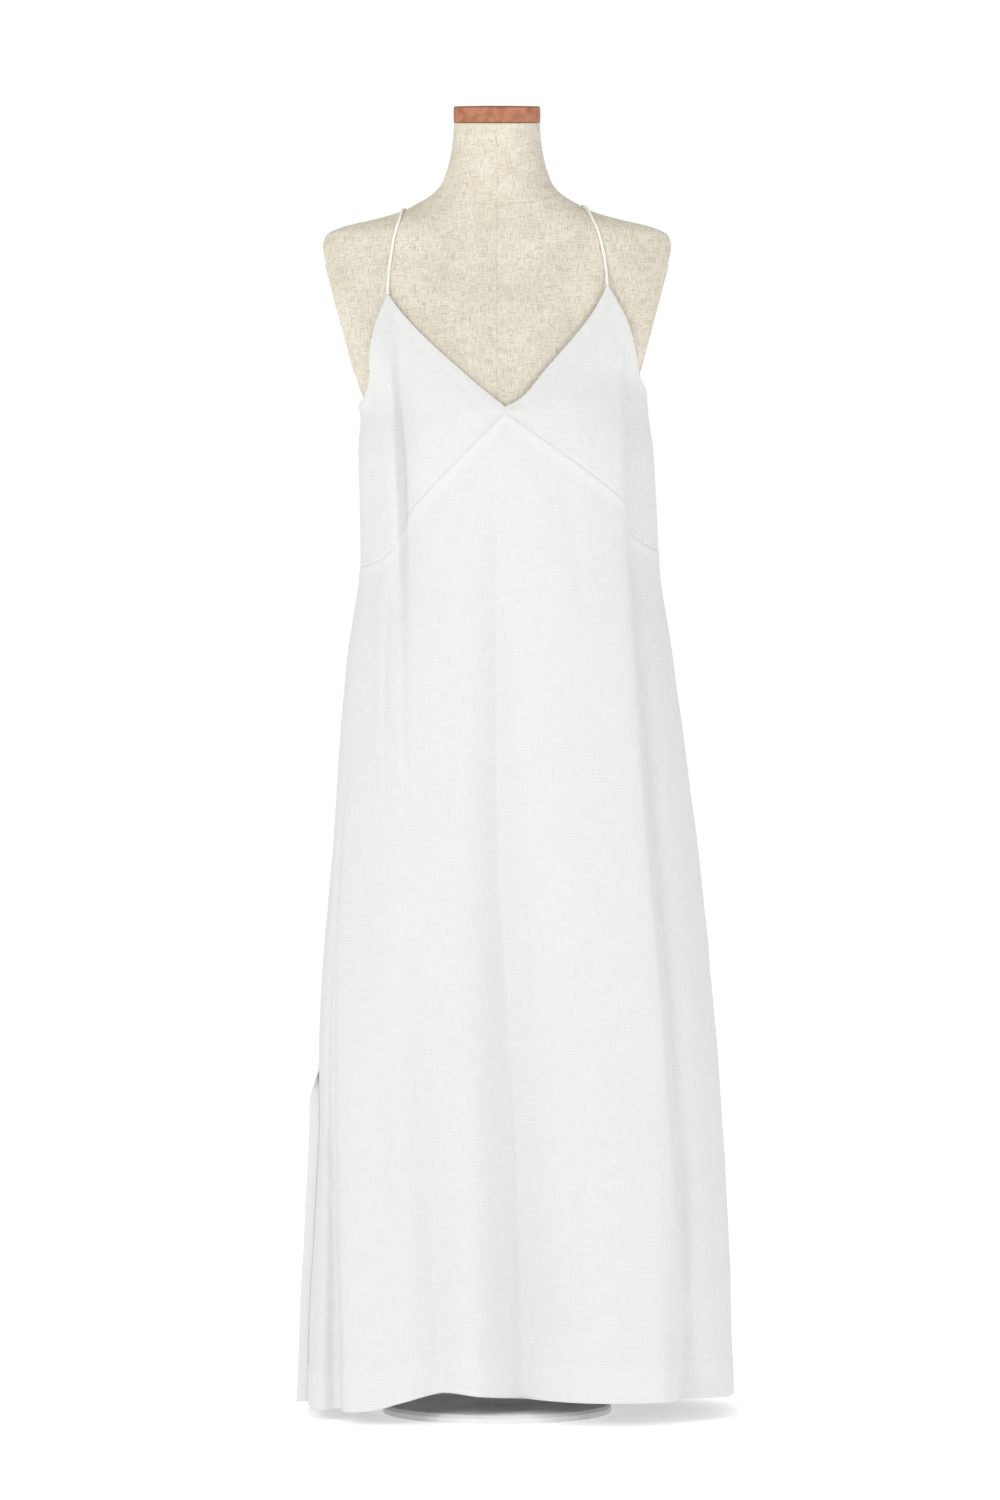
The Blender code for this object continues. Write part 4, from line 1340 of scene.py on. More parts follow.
FRONT_FOLDS = (
    make_fold(
        Lay.LAP_RIGHT,
        (-0.100, 0.1935, 0.0018, 0.034, 0.030),
        (0.060, 0.1905, 0.0019, 0.034, 0.030),
        (0.120, 0.1880, 0.0023, 0.034, 0.030),
        (0.200, 0.1845, 0.0030, 0.032, 0.028),
        (0.330, 0.1727, 0.0036, 0.030, 0.024),
        (0.450, 0.1642, 0.0036, 0.028, 0.022),
        (0.575, 0.1530, 0.0036, 0.026, 0.020),
        (0.700, 0.1436, 0.0034, 0.024, 0.018),
        (0.825, 0.1355, 0.0032, 0.022, 0.016),
        (0.950, 0.1286, 0.0024, 0.018, 0.022),
        (1.075, 0.1275, 0.0014, 0.014, 0.014),
        (1.125, 0.1260, 0.0000, 0.012, 0.010),
        drop=2.4,
        edge=0.015,
    ),
    make_fold(
        Lay.LAP_RIGHT,
        (-0.100, 0.1690, 0.0076, 0.030, 0.050),
        (0.060, 0.1665, 0.0062, 0.030, 0.046),
        (0.120, 0.1640, 0.0036, 0.032, 0.036),
        (0.250, 0.1620, 0.0016, 0.030, 0.026),
        (0.360, 0.1580, 0.0000, 0.026, 0.024),
        drop=2.6,
        edge=0.034,
    ),
    make_fold(
        Lay.ROUND,
        (-0.100, 0.1050, 0.0100, 0.040, 0.034),
        (0.200, 0.1040, 0.0070, 0.036, 0.030),
        (0.500, 0.0950, 0.0010, 0.030, 0.030),
        (0.620, 0.0940, 0.0000, 0.030, 0.030),
    ),
    make_fold(
        Lay.SHARP,
        (-0.100, 0.0310, -0.0510, 0.050, 0.036),
        (0.060, 0.0260, -0.0490, 0.047, 0.034),
        (0.200, 0.0240, -0.0430, 0.041, 0.032),
        (0.300, 0.0200, -0.0370, 0.036, 0.030),
        (0.400, 0.0140, -0.0330, 0.033, 0.028),
        (0.480, 0.0090, -0.0290, 0.030, 0.026),
        (0.560, 0.0040, -0.0240, 0.026, 0.024),
        (0.680, 0.0010, -0.0180, 0.021, 0.020),
        (0.800, 0.0010, -0.0120, 0.017, 0.018),
        (0.950, 0.0000, -0.0036, 0.012, 0.014),
        (1.015, 0.0000, 0.0000, 0.008, 0.010),
    ),
    make_fold(
        Lay.ROUND,
        (-0.100, -0.0260, 0.0120, 0.026, 0.026),
        (0.200, -0.0260, 0.0110, 0.024, 0.026),
        (0.400, -0.0290, 0.0080, 0.022, 0.024),
        (0.700, -0.0300, 0.0044, 0.018, 0.020),
        (0.880, -0.0240, 0.0020, 0.014, 0.012),
        (0.990, -0.0230, 0.0000, 0.012, 0.010),
    ),
    make_fold(
        Lay.SHARP,
        (-0.100, -0.0540, -0.0170, 0.018, 0.026),
        (0.080, -0.0620, -0.0160, 0.016, 0.024),
        (0.220, -0.0720, -0.0136, 0.014, 0.022),
        (0.340, -0.0830, -0.0110, 0.012, 0.018),
        (0.440, -0.0900, -0.0080, 0.010, 0.015),
        (0.540, -0.0980, 0.0000, 0.008, 0.012),
    ),
    make_fold(
        Lay.ROUND,
        (-0.100, -0.0920, 0.0044, 0.014, 0.013),
        (0.160, -0.0940, 0.0034, 0.013, 0.012),
        (0.300, -0.1000, 0.0016, 0.012, 0.010),
        (0.400, -0.1020, 0.0000, 0.010, 0.010),
    ),
    make_fold(
        Lay.ROUND,
        (0.140, -0.1240, 0.0000, 0.012, 0.012),
        (0.240, -0.1220, -0.0020, 0.012, 0.012),
        (0.360, -0.1220, -0.0016, 0.012, 0.012),
        (0.460, -0.1240, 0.0000, 0.012, 0.012),
    ),
    make_fold(
        Lay.LAP_RIGHT,
        (0.560, -0.1000, 0.0000, 0.030, 0.014),
        (0.640, -0.1010, 0.0050, 0.030, 0.014),
        (0.720, -0.1015, 0.0090, 0.030, 0.014),
        (0.820, -0.1025, 0.0130, 0.028, 0.014),
        (0.900, -0.1040, 0.0180, 0.026, 0.014),
        (0.960, -0.1060, 0.0210, 0.026, 0.014),
        (1.020, -0.1085, 0.0200, 0.026, 0.014),
        (1.080, -0.1120, 0.0130, 0.022, 0.013),
        (1.120, -0.1150, 0.0060, 0.016, 0.012),
        (1.160, -0.1150, 0.0000, 0.010, 0.010),
        drop=0.1,
        edge=0.016,
        forward=True,
    ),
    make_fold(
        Lay.LAP_RIGHT,
        (0.600, -0.1180, 0.0000, 0.012, 0.010),
        (0.700, -0.1185, 0.0028, 0.012, 0.010),
        (0.780, -0.1165, 0.0036, 0.012, 0.010),
        (0.840, -0.1150, 0.0036, 0.012, 0.010),
        (0.890, -0.1140, 0.0000, 0.012, 0.010),
        drop=0.6,
        edge=0.006,
    ),
    make_fold(
        Lay.ROUND,
        (-0.100, -0.1655, -0.0210, 0.018, 0.009),
        (0.120, -0.1660, -0.0210, 0.018, 0.009),
        (0.250, -0.1675, -0.0190, 0.017, 0.009),
        (0.330, -0.1685, -0.0160, 0.016, 0.009),
        (0.450, -0.1675, -0.0120, 0.014, 0.009),
        (0.575, -0.1640, -0.0080, 0.012, 0.009),
        (0.680, -0.1560, 0.0000, 0.010, 0.009),
        forward=True,
    ),
    make_fold(
        Lay.LAP_LEFT,
        (-0.100, -0.1500, 0.0090, 0.012, 0.030),
        (0.070, -0.1520, 0.0090, 0.012, 0.030),
        (0.200, -0.1560, 0.0086, 0.012, 0.028),
        (0.320, -0.1570, 0.0076, 0.012, 0.026),
        (0.460, -0.1610, 0.0050, 0.012, 0.022),
        (0.560, -0.1580, 0.0026, 0.012, 0.020),
        (0.680, -0.1500, 0.0000, 0.012, 0.016),
        drop=0.1,
        edge=0.014,
    ),
    make_fold(
        Lay.ROUND,
        (0.120, -0.1600, 0.0000, 0.0035, 0.0035),
        (0.190, -0.1650, 0.0018, 0.0040, 0.0040),
        (0.260, -0.1745, 0.0018, 0.0040, 0.0040),
        (0.320, -0.1790, 0.0000, 0.0035, 0.0035),
    ),
    make_fold(
        Lay.ROUND,
        (0.820, 0.0910, 0.0000, 0.008, 0.008),
        (0.880, 0.0840, -0.0012, 0.008, 0.008),
        (0.940, 0.0770, -0.0010, 0.008, 0.008),
        (1.000, 0.0700, 0.0000, 0.008, 0.008),
    ),
    make_fold(
        Lay.ROUND,
        (0.100, 0.0930, 0.0000, 0.009, 0.010),
        (0.190, 0.0860, -0.0020, 0.009, 0.010),
        (0.270, 0.0720, -0.0016, 0.009, 0.010),
        (0.360, 0.0660, 0.0000, 0.009, 0.010),
    ),
    make_fold(
        Lay.ROUND,
        (0.900, -0.0440, 0.0000, 0.007, 0.007),
        (0.950, -0.0410, -0.0012, 0.007, 0.007),
        (1.000, -0.0400, 0.0000, 0.007, 0.007),
    ),
)

BACK_FOLDS = (
    make_fold(
        Lay.ROUND,
        (-0.100, -0.0940, -0.0120, 0.018, 0.024),
        (0.300, -0.0880, -0.0090, 0.018, 0.024),
        (0.700, -0.0760, -0.0060, 0.016, 0.020),
        (1.020, -0.0740, 0.0000, 0.014, 0.016),
    ),
    make_fold(
        Lay.ROUND,
        (-0.100, 0.0520, -0.0140, 0.016, 0.022),
        (0.250, 0.0400, -0.0110, 0.015, 0.022),
        (0.600, 0.0350, -0.0060, 0.013, 0.018),
        (0.960, 0.0400, 0.0000, 0.012, 0.016),
    ),
    make_fold(
        Lay.ROUND,
        (-0.100, -0.0220, 0.0060, 0.026, 0.026),
        (0.400, -0.0180, 0.0040, 0.026, 0.026),
        (0.900, -0.0200, 0.0000, 0.022, 0.022),
    ),
    make_fold(
        Lay.LAP_RIGHT,
        (-0.100, 0.1760, 0.0056, 0.026, 0.020),
        (0.400, 0.1500, 0.0044, 0.026, 0.020),
        (0.800, 0.1320, 0.0030, 0.024, 0.016),
        (1.000, 0.1230, 0.0000, 0.020, 0.014),
        drop=1.0,
        edge=0.007,
    ),
    make_fold(
        Lay.ROUND,
        (-0.100, -0.1420, 0.0060, 0.018, 0.024),
        (0.400, -0.1340, 0.0036, 0.018, 0.024),
        (0.850, -0.1200, 0.0000, 0.016, 0.020),
    ),
    make_fold(
        Lay.ROUND,
        (0.150, 0.0980, 0.0000, 0.010, 0.012),
        (0.420, 0.0920, -0.0026, 0.010, 0.012),
        (0.760, 0.0860, 0.0000, 0.010, 0.012),
    ),
)

FRONT_CREASES = table_of(
    Crease,
    (-0.0564, 0.7607, -0.0338, 0.7699, -0.0008, 0.0030),
    (-0.0626, 0.6280, -0.0277, 0.6190, 0.0008, 0.0035),
    (-0.0656, 0.5750, -0.0338, 0.5863, -0.0010, 0.0030),
    (0.0820, 0.5637, 0.1097, 0.5650, -0.0007, 0.0040),
    (0.1066, 0.5430, 0.1080, 0.5310, -0.0007, 0.0030),
    (0.1231, 0.4807, 0.1569, 0.4961, -0.0009, 0.0040),
    (-0.1569, 0.2213, -0.1282, 0.2180, -0.0010, 0.0026),
    (-0.1282, 0.2200, -0.0900, 0.2290, 0.0007, 0.0040),
    (0.0031, 0.1800, 0.0174, 0.1648, 0.0010, 0.0030),
    (0.1261, 0.2028, 0.1702, 0.2274, -0.0010, 0.0050),
    (0.0287, 0.1054, 0.0564, 0.0972, -0.0009, 0.0030),
    (0.0441, 0.0736, 0.0759, 0.0730, -0.0006, 0.0035),
    (0.2297, 0.2336, 0.1990, 0.1177, 0.0010, 0.0060),
    (0.2380, 0.1500, 0.2080, 0.0560, 0.0010, 0.0070),
    (-0.1000, 0.1200, -0.0700, 0.1340, 0.0008, 0.0040),
    (0.0560, 0.3300, 0.0900, 0.3420, -0.0005, 0.0050),
    (-0.0100, 0.7050, 0.0200, 0.7120, 0.0004, 0.0050),
    (0.0900, 0.7900, 0.1200, 0.7960, -0.0004, 0.0050),
)
BACK_CREASES = table_of(
    Crease,
    (-0.0500, 0.7900, -0.0100, 0.8000, -0.0010, 0.0045),
    (0.0300, 0.8300, 0.0800, 0.8180, -0.0010, 0.0050),
    (-0.1100, 0.5200, -0.0700, 0.5350, -0.0009, 0.0050),
    (0.0500, 0.4700, 0.1000, 0.4800, 0.0008, 0.0050),
    (-0.0300, 0.2500, 0.0100, 0.2580, -0.0008, 0.0040),
    (0.1000, 0.2000, 0.1400, 0.1880, -0.0009, 0.0050),
    (-0.1500, 0.1800, -0.1200, 0.1900, -0.0008, 0.0040),
)
RIPPLES = table_of(
    Ripple,
    (5.1, 3.3, 0.4, 0.00034),
    (9.7, -4.1, 1.9, 0.00022),
    (-6.3, 8.9, 3.1, 0.00018),
    (15.1, 6.7, 4.4, 0.00012),
    (3.9, -17.3, 5.2, 0.00009),
    (23.0, 12.1, 0.9, 0.00006),
)


@dataclass(frozen=True)
class Draping:
    """The dress's surface: its sections with all folds, creases and ripples on them."""

    slit_top: float = 0.372
    slit_ramp: float = 0.050
    slit_strip: float = 0.0100
    slit_bend: float = 0.0140
    slit_back: float = 0.0016
    slit_kick: float = 0.0015
    slit_kick_share: float = 0.16
    seam_step_width: float = 0.10
    seam_ease: float = 0.07
    back_dip: float = 0.012
    slit_bend_start: float = 0.9
    ripple_top: float = 1.10
    ripple_ramp: float = 0.25
    ripple_low: float = 0.85
    ripple_high: float = 0.15

    def size(self, height: Array, face: Face) -> tuple[Array, Array, Array, Array, Array]:
        """Reads the sizes of one half of the dress.

        Args:
            height: The height of each section.
            face: The half of the dress.

        Returns:
            Its middle x, half width, depth, seam y and squareness.
        """
        left = column(DRESS_SECTIONS, "left", height)
        right = column(DRESS_SECTIONS, "right", height)
        seam = column(DRESS_SECTIONS, "seam", height)
        depth = face.value * (column(DRESS_SECTIONS, face.name.lower(), height) - seam)
        squareness = column(DRESS_SECTIONS, "squareness", height)
        return (left + right) / 2.0, (right - left) / 2.0, depth, seam, squareness

    def share_at(self, x: Array | float, height: Array | float, face: Face) -> Array:
        """The share at which a section passes an x: 1 - atan2(along, across) / pi.

        Args:
            x: The x in the front view.
            height: The section's height.
            face: The half of the dress.

        Returns:
            The share.
        """
        middle, half_width, _, _, squareness = self.size(height, face)
        across = np.clip((x - middle) / half_width, -1.0, 1.0)
        along = (1.0 - np.abs(across) ** squareness) ** (1.0 / squareness)
        return 1.0 - np.arctan2(along, across) / math.pi

    def point(self, share: Array, height: Array, face: Face, relief: Array | float = 0.0) -> Array:
        """Points of the dress.

        The section is the ellipse (half width, depth) times the superellipse's scale. The lift is
        the sum of the folds, the creases (lift times exp(-(distance / width)^2) from the line
        between their ends) and the ripples (sines over share and height), along the section's
        outward direction. Below the slit's top the back is pushed a little to the left near its
        left edge, and the last strip of it is turned to face the front, a little way behind.

        Args:
            share: How far round the half each point lies.
            height: Its height.
            face: The half of the dress.
            relief: A further lift, for sewn edges.

        Returns:
            The points.
        """
        middle, half_width, depth, seam, squareness = self.size(height, face)
        angle = math.pi * (1.0 - share)
        across, along = np.cos(angle), np.sin(angle)
        scale = corner_scale(across, along, squareness)
        x = middle + half_width * across * scale
        y = seam + face.value * depth * along * scale
        out_x = np.sign(across) * np.abs(across) ** (squareness - 1.0) / half_width
        out_y = face.value * np.abs(along) ** (squareness - 1.0) / depth
        length = np.hypot(out_x, out_y)
        half_girth = math.pi / 2.0 * (half_width + depth)
        lift = relief + np.zeros_like(x)
        forward = np.zeros_like(x)
        for fold in FRONT_FOLDS if face is Face.FRONT else BACK_FOLDS:
            line = self.share_at(column(fold.points, "x", height), height, face)
            moved = fold.lift((share - line) * half_girth, height)
            if fold.forward:
                forward = forward + moved
            else:
                lift = lift + moved
        for crease in FRONT_CREASES if face is Face.FRONT else BACK_CREASES:
            run_x = crease.end_x - crease.start_x
            run_z = crease.end_height - crease.start_height
            off_x, off_z = x - crease.start_x, height - crease.start_height
            t = np.clip((off_x * run_x + off_z * run_z) / (run_x**2 + run_z**2), 0.0, 1.0)
            apart = np.hypot(off_x - t * run_x, off_z - t * run_z)
            lift = lift + crease.lift * np.exp(-((apart / crease.width) ** 2))
        run = (share - 0.5) * half_girth
        below = smooth((self.ripple_top - height) / self.ripple_ramp)
        calm = below * self.ripple_low + self.ripple_high
        for wave in RIPPLES:
            turn = 2.0 * math.pi * (wave.across * run + wave.along * height) + wave.phase
            lift = lift + wave.lift * calm * np.sin(turn)
        x = x + lift * out_x / length
        y = y + lift * out_y / length + forward * face.value
        if face is Face.BACK:
            opened = smooth((self.slit_top - height) / self.slit_ramp)
            broad = self.slit_kick * np.exp(-((share / self.slit_kick_share) ** 2))
            from_edge = share * half_girth
            flat = self.slit_bend_start * self.slit_strip
            turned = 1.0 - smooth((from_edge - flat) / self.slit_bend)
            x = x - opened * (broad + np.maximum(self.slit_strip - from_edge, 0.0))
            y = y - opened * turned * (from_edge - self.slit_back)
        return np.stack([x, y, np.broadcast_to(height, x.shape)], axis=-1)

    def hem(self, points: tuple[EdgePoint, ...], share: Array, face: Face) -> Array:
        """The height of a hem at each share."""
        shares = [float(self.share_at(p.x, p.height, face)) for p in points]
        return through(shares, [p.height for p in points], share)

    def empire_seam(self, share: Array) -> Array:
        """The height of the seam between the cups and the skirt.

        Away from the middle it falls with a slope, drops by a smooth step where the long fold
        crosses it, and eases into a level run: (line + sqrt(line^2 + 4 ease^2)) / 2.

        Args:
            share: How far round the front each point lies.

        Returns:
            The heights.
        """
        middle = float(self.share_at(V_POINT.x, SEAM_POINT, Face.FRONT))
        left = share < middle
        away = np.where(left, (middle - share) / middle, (share - middle) / (1.0 - middle))

        def fall(cup: CupCut) -> Array:
            """The seam on one cup's side."""
            drop = cup.step * smooth((away - cup.step_place) / self.seam_step_width + 0.5)
            line = 1.0 - cup.slope * away - drop
            eased = (line + np.sqrt(line * line + 4.0 * self.seam_ease**2)) / 2.0
            return cup.side_height + (SEAM_POINT - cup.side_height) * np.minimum(eased, 1.0)

        return np.where(left, fall(LEFT_CUP), fall(RIGHT_CUP))

    def back_top(self, share: Array | float) -> Array:
        """The height of the back's top edge, which dips by a sine between the side seams."""
        level = LEFT_CUP.underarm + (RIGHT_CUP.underarm - LEFT_CUP.underarm) * share
        return level - self.back_dip * np.sin(math.pi * share)


@dataclass
class Panel:
    """A cut piece of the dress: a grid between a low and a high edge.

    The finish's bands tell how far the cloth is doubled along an edge. The wall is thicker there.
    On a pointed piece the distance from the high edge is taken to its nearest point.
    """

    name: str
    draping: Draping
    face: Face
    shares: Array
    low: Array
    high: Array
    rows: int
    crowding: float
    finish: DressLinen
    pointed: bool = False
    cloth: float = 0.0011
    doubled_cloth: float = 0.0018
    doubled_ramp: float = 0.0025
    seam_groove: float = 0.0004
    seam_groove_width: float = 0.0012
    point_offset: float = 0.0002

    def across_edge(self, points: Array, edge: Array) -> Array:
        """How much of a height difference lies across a sloping edge: 1 / sqrt(1 + slope^2)."""
        slope = np.gradient(edge) / np.linalg.norm(np.gradient(points, axis=0)[:, :2], axis=1)
        return 1.0 / np.sqrt(1.0 + slope**2)

    def build(self, effects: Effects) -> bpy.types.Object:
        """Makes the panel.

        The rows stand closer together at both ends: t - crowding * sin(2 pi t) / (2 pi). The wall
        swells from single to doubled cloth across each band's inner line, and every seamed edge
        is drawn in by a small groove exp(-(distance / width)^2).

        Args:
            effects: The shared node groups.

        Returns:
            The panel as a closed cloth wall.
        """
        t = np.linspace(0.0, 1.0, self.rows)[:, None]
        level = t - self.crowding * np.sin(2.0 * math.pi * t) / (2.0 * math.pi)
        height = self.low + (self.high - self.low) * level
        share = np.broadcast_to(self.shares, height.shape)
        plain = self.draping.point(share, height, self.face)
        run = run_length(plain, 1)
        from_low = (height - self.low) * self.across_edge(plain[0], self.low)
        from_high = (self.high - height) * self.across_edge(plain[-1], self.high)
        if self.pointed:
            from_high = np.minimum(from_high, self.nearest_top(plain))
        from_left, from_right = run, run[:, -1:] - run
        finish = self.finish
        doubled = np.zeros_like(height)
        below = smooth((finish.bands_below - height) / finish.bands_fade)
        for distance, width, limit in (
            (from_low, finish.low_band, 1.0),
            (from_high, finish.high_band, 1.0),
            (from_left, finish.left_band, below),
        ):
            if width > 0.0:
                band = smooth((width - distance) / self.doubled_ramp + 0.5) * limit
                doubled = np.maximum(doubled, band)
        nearest = np.minimum(np.minimum(from_low, from_high), np.minimum(from_left, from_right))
        relief = -self.seam_groove * np.exp(-((nearest / self.seam_groove_width) ** 2))
        points = self.draping.point(share, height, self.face, relief)
        middle = run[:, run.shape[1] // 2][:, None]
        maps = {
            "Weave": np.stack([run - middle, height], axis=-1),
            "Rise": np.stack([from_low, from_high], axis=-1),
            "Sides": np.stack([from_left, from_right], axis=-1),
        }
        thickness = self.cloth + (self.doubled_cloth - self.cloth) * doubled
        if self.face is Face.BACK:
            points, thickness = points[:, ::-1], thickness[:, ::-1]
            maps = {title: values[:, ::-1] for title, values in maps.items()}
        return cloth_object(self.name, points, thickness, maps, finish.make(effects))

    def nearest_top(self, points: Array) -> Array:
        """The distance to the nearest point of the top edge, plus a small offset."""
        gaps = sum((points[..., k, None] - points[-1, :, k]) ** 2 for k in range(3))
        return np.sqrt(gaps.min(axis=-1)) + self.point_offset


@dataclass
class Dress:
    """The whole dress: two cups, front skirt, back panel and two straps."""

    form: DressForm
    draping: Draping
    effects: Effects
    seam_gap: float = 0.0002
    armhole_columns: int = 70
    neckline_columns: int = 72
    back_columns: int = 280
    skirt_rows: int = 148
    cup_rows: int = 116
    skirt_crowding: float = 0.55
    cup_crowding: float = 0.30
    side_crowding: float = 0.6
    strap_rings: int = 190
    strap_around: int = 20
    hem_width: float = 0.038
    allowance: float = 0.011
    facing: float = 0.009
    slit_facing: float = 0.010
    strap_radius: float = 0.0014
    strap_flatness: float = 0.72
    # painted light: the cups' linen is a little paler than the skirt's, so that the cups come out
    # as bright as the skirt under these lights
    cup_tone: tuple = colour(0.765, 0.765, 0.752)
    # the straps' tone is partly their doubled rouleau cloth and partly painted light: it is paler
    # than doubled linen and has no darker threads, so that the thin straps come out bright
    strap_tone: tuple = colour(0.87, 0.86, 0.82)
    strap_clearance: float = 0.0003
    strap_end_x: float = 0.0480
    strap_end_gap: float = 0.0004
    crossing_lift: float = 0.0042
    crossing_width: float = 0.016

    def cup_shares(self, cup: CupCut) -> Array:
        """The columns of one half of the front, evenly spaced on each side of the apex.

        Args:
            cup: The cup of that half.

        Returns:
            Their shares, from the side seam over the apex to the middle.
        """
        outer = self.seam_gap if cup.apex_x < 0.0 else 1.0 - self.seam_gap
        apex = float(self.draping.share_at(cup.apex_x, cup.apex_height, Face.FRONT))
        middle = float(self.draping.share_at(V_POINT.x, V_POINT.height, Face.FRONT))
        side = np.linspace(outer, apex, self.armhole_columns)
        return np.concatenate([side, np.linspace(apex, middle, self.neckline_columns)[1:]])

    def skirt_front(self) -> bpy.types.Object:
        """Makes the front skirt panel, from the turned-up hem to the empire seam.

        Returns:
            The panel.
        """
        shares = np.concatenate([self.cup_shares(LEFT_CUP), self.cup_shares(RIGHT_CUP)[-2::-1]])
        low = self.draping.hem(FRONT_HEM, shares, Face.FRONT)
        high = self.draping.empire_seam(shares) - self.seam_gap / 2.0
        finish = DressLinen(
            "white_linen_skirt_front",
            low_band=self.hem_width,
            high_band=self.allowance,
            left_band=self.slit_facing,
            bands_below=self.draping.slit_top,
        )
        rows, crowding = self.skirt_rows, self.skirt_crowding
        panel = Panel(
            "front_skirt", self.draping, Face.FRONT, shares, low, high, rows, crowding, finish
        )
        return panel.build(self.effects)

    def back_panel(self) -> bpy.types.Object:
        """Makes the back panel, from the turned-up hem to its faced top edge.

        The columns stand closer together at both sides: t - crowding * sin(2 pi t) / (2 pi).

        Returns:
            The panel.
        """
        even = np.linspace(0.0, 1.0, self.back_columns)
        even = even - self.side_crowding * np.sin(2.0 * math.pi * even) / (2.0 * math.pi)
        shares = self.seam_gap + (1.0 - 2.0 * self.seam_gap) * even
        low = self.draping.hem(BACK_HEM, shares, Face.BACK)
        high = self.draping.back_top(shares)
        finish = DressLinen(
            "white_linen_back",
            low_band=self.hem_width,
            high_band=self.facing,
            left_band=self.slit_facing,
            bands_below=self.draping.slit_top,
        )
        rows, crowding = self.skirt_rows, self.skirt_crowding
        panel = Panel(
            "back_of_dress", self.draping, Face.BACK, shares, low, high, rows, crowding, finish
        )
        return panel.build(self.effects)

    def cup(self, name: str, cup: CupCut) -> bpy.types.Object:
        """Makes one cup.

        From the underarm the armhole rises with a power of the way to the apex. From there the
        neckline falls to the middle, bowed by bow * t * (1 - t).

        Args:
            name: The piece's name.
            cup: Its cut.

        Returns:
            The cup.
        """
        shares = self.cup_shares(cup)
        outer, apex, middle = shares[0], shares[self.armhole_columns - 1], shares[-1]
        reach = np.clip((shares - outer) / (apex - outer), 0.0, 1.0)
        armhole = cup.underarm + (cup.apex_height - cup.underarm) * reach**cup.armhole_power
        across = np.clip((shares - apex) / (middle - apex), 0.0, 1.0)
        fall = across + cup.neck_bow * across * (1.0 - across)
        neckline = cup.apex_height - (cup.apex_height - V_POINT.height) * fall
        high = np.where(across > 0.0, neckline, armhole)
        low = self.draping.empire_seam(shares) + self.seam_gap / 2.0
        shares[-1] += math.copysign(self.seam_gap / 4.0, cup.apex_x)
        if cup.apex_x > 0.0:
            shares, low, high = shares[::-1], low[::-1], high[::-1]
        # the cups take the paler linen tone, which is painted light
        finish = DressLinen(
            f"white_linen_{name}",
            high_band=self.facing,
            high_paleness=0.2,
            single=self.cup_tone,
        )
        rows, crowding = self.cup_rows, self.cup_crowding
        panel = Panel(
            name, self.draping, Face.FRONT, shares, low, high, rows, crowding, finish, pointed=True
        )
        return panel.build(self.effects)

    def strap_path(self, guides: tuple[StrapGuide, ...], cup: CupCut, over: bool) -> Array:
        """A strap's centre line.

        It starts on the cup's apex, passes the guides a little off the form, and ends on the far
        side of the back's top edge. The upper strap rises over the other by
        lift * exp(-(x / width)^2).

        Args:
            guides: The points it passes.
            cup: The cup that it starts on.
            over: Whether it passes over the other strap.

        Returns:
            Evenly spaced points.
        """
        off = self.strap_radius * self.strap_flatness + self.strap_clearance
        apex_share = float(self.draping.share_at(cup.apex_x, cup.apex_height, Face.FRONT))
        apex = self.draping.point(np.array(apex_share), np.array(cup.apex_height), Face.FRONT)
        points = [apex - np.array([0.0, 0.0, self.strap_end_gap])]
        for guide in guides:
            hump = self.crossing_lift * math.exp(-((guide.x / self.crossing_width) ** 2))
            lift = hump if over and guide.side > 0 else 0.0
            points.append(self.form.over(guide.x, guide.height, guide.side, off + lift))
        end_x = -math.copysign(self.strap_end_x, cup.apex_x)
        near = self.draping.share_at(end_x, LEFT_CUP.underarm, Face.BACK)
        top = float(self.draping.back_top(near))
        share = float(self.draping.share_at(end_x, top, Face.BACK))
        end = self.draping.point(np.array(share), np.array(top), Face.BACK)
        points = np.array(points + [end - np.array([0.0, 0.0, self.strap_end_gap])])
        along = run_length(points, 0)
        at = np.linspace(0.0, along[-1], self.strap_rings)
        return np.stack([through(along, points[:, k], at) for k in range(3)], axis=1)

    def strap(
        self, name: str, guides: tuple[StrapGuide, ...], cup: CupCut, over: bool
    ) -> bpy.types.Object:
        """Makes a rouleau strap: an oval tube along its line, with a sewn edge down one side.

        Each ring is line + r * (cos a * side + flatness * sin a * up), where side and up are
        square to the line. The sewn edge is a low ridge at one angle, and the tube swells a
        little by the product of two sines along it.

        Args:
            name: The piece's name.
            guides: The points it passes.
            cup: The cup that it starts on.
            over: Whether it passes over the other strap.

        Returns:
            The strap.
        """
        path = self.strap_path(guides, cup, over)
        forward = np.gradient(path, axis=0)
        forward /= np.linalg.norm(forward, axis=1, keepdims=True)
        up = np.cross(forward, np.array([1.0, 0.0, 0.0]))
        up /= np.linalg.norm(up, axis=1, keepdims=True)
        side = np.cross(up, forward)
        angle = 2.0 * math.pi * np.arange(self.strap_around) / self.strap_around
        run = run_length(path, 0)
        swelling, short_wave, long_wave = 0.035, 410.0, 97.0
        swell = 1.0 + swelling * np.sin(run * short_wave) * np.sin(run * long_wave + 1.0)
        ridge_share, ridge_angle, ridge_width = 0.07, 1.1, 0.30
        ridge = 1.0 + ridge_share * np.exp(-(((angle - ridge_angle) / ridge_width) ** 2))
        radius = (self.strap_radius * swell)[:, None] * ridge[None, :]
        rings = path[:, None, :] + (radius * np.cos(angle))[..., None] * side[:, None, :]
        rings = rings + (radius * self.strap_flatness * np.sin(angle))[..., None] * up[:, None, :]
        turns = np.linspace(0.0, 2.0 * math.pi, self.strap_around + 1) * self.strap_radius
        weave = np.stack(np.broadcast_arrays(turns[None, :], run[:, None]), axis=-1)
        maps = {"Weave": weave, "Rise": np.full_like(weave, 1.0), "Sides": np.full_like(weave, 1.0)}
        # the strap's single tone is partly doubled cloth and partly painted light
        finish = DressLinen(f"white_linen_{name}", single=self.strap_tone, shaded=self.strap_tone)
        return ring_object(name, rings, maps, finish.make(self.effects))


# The studio


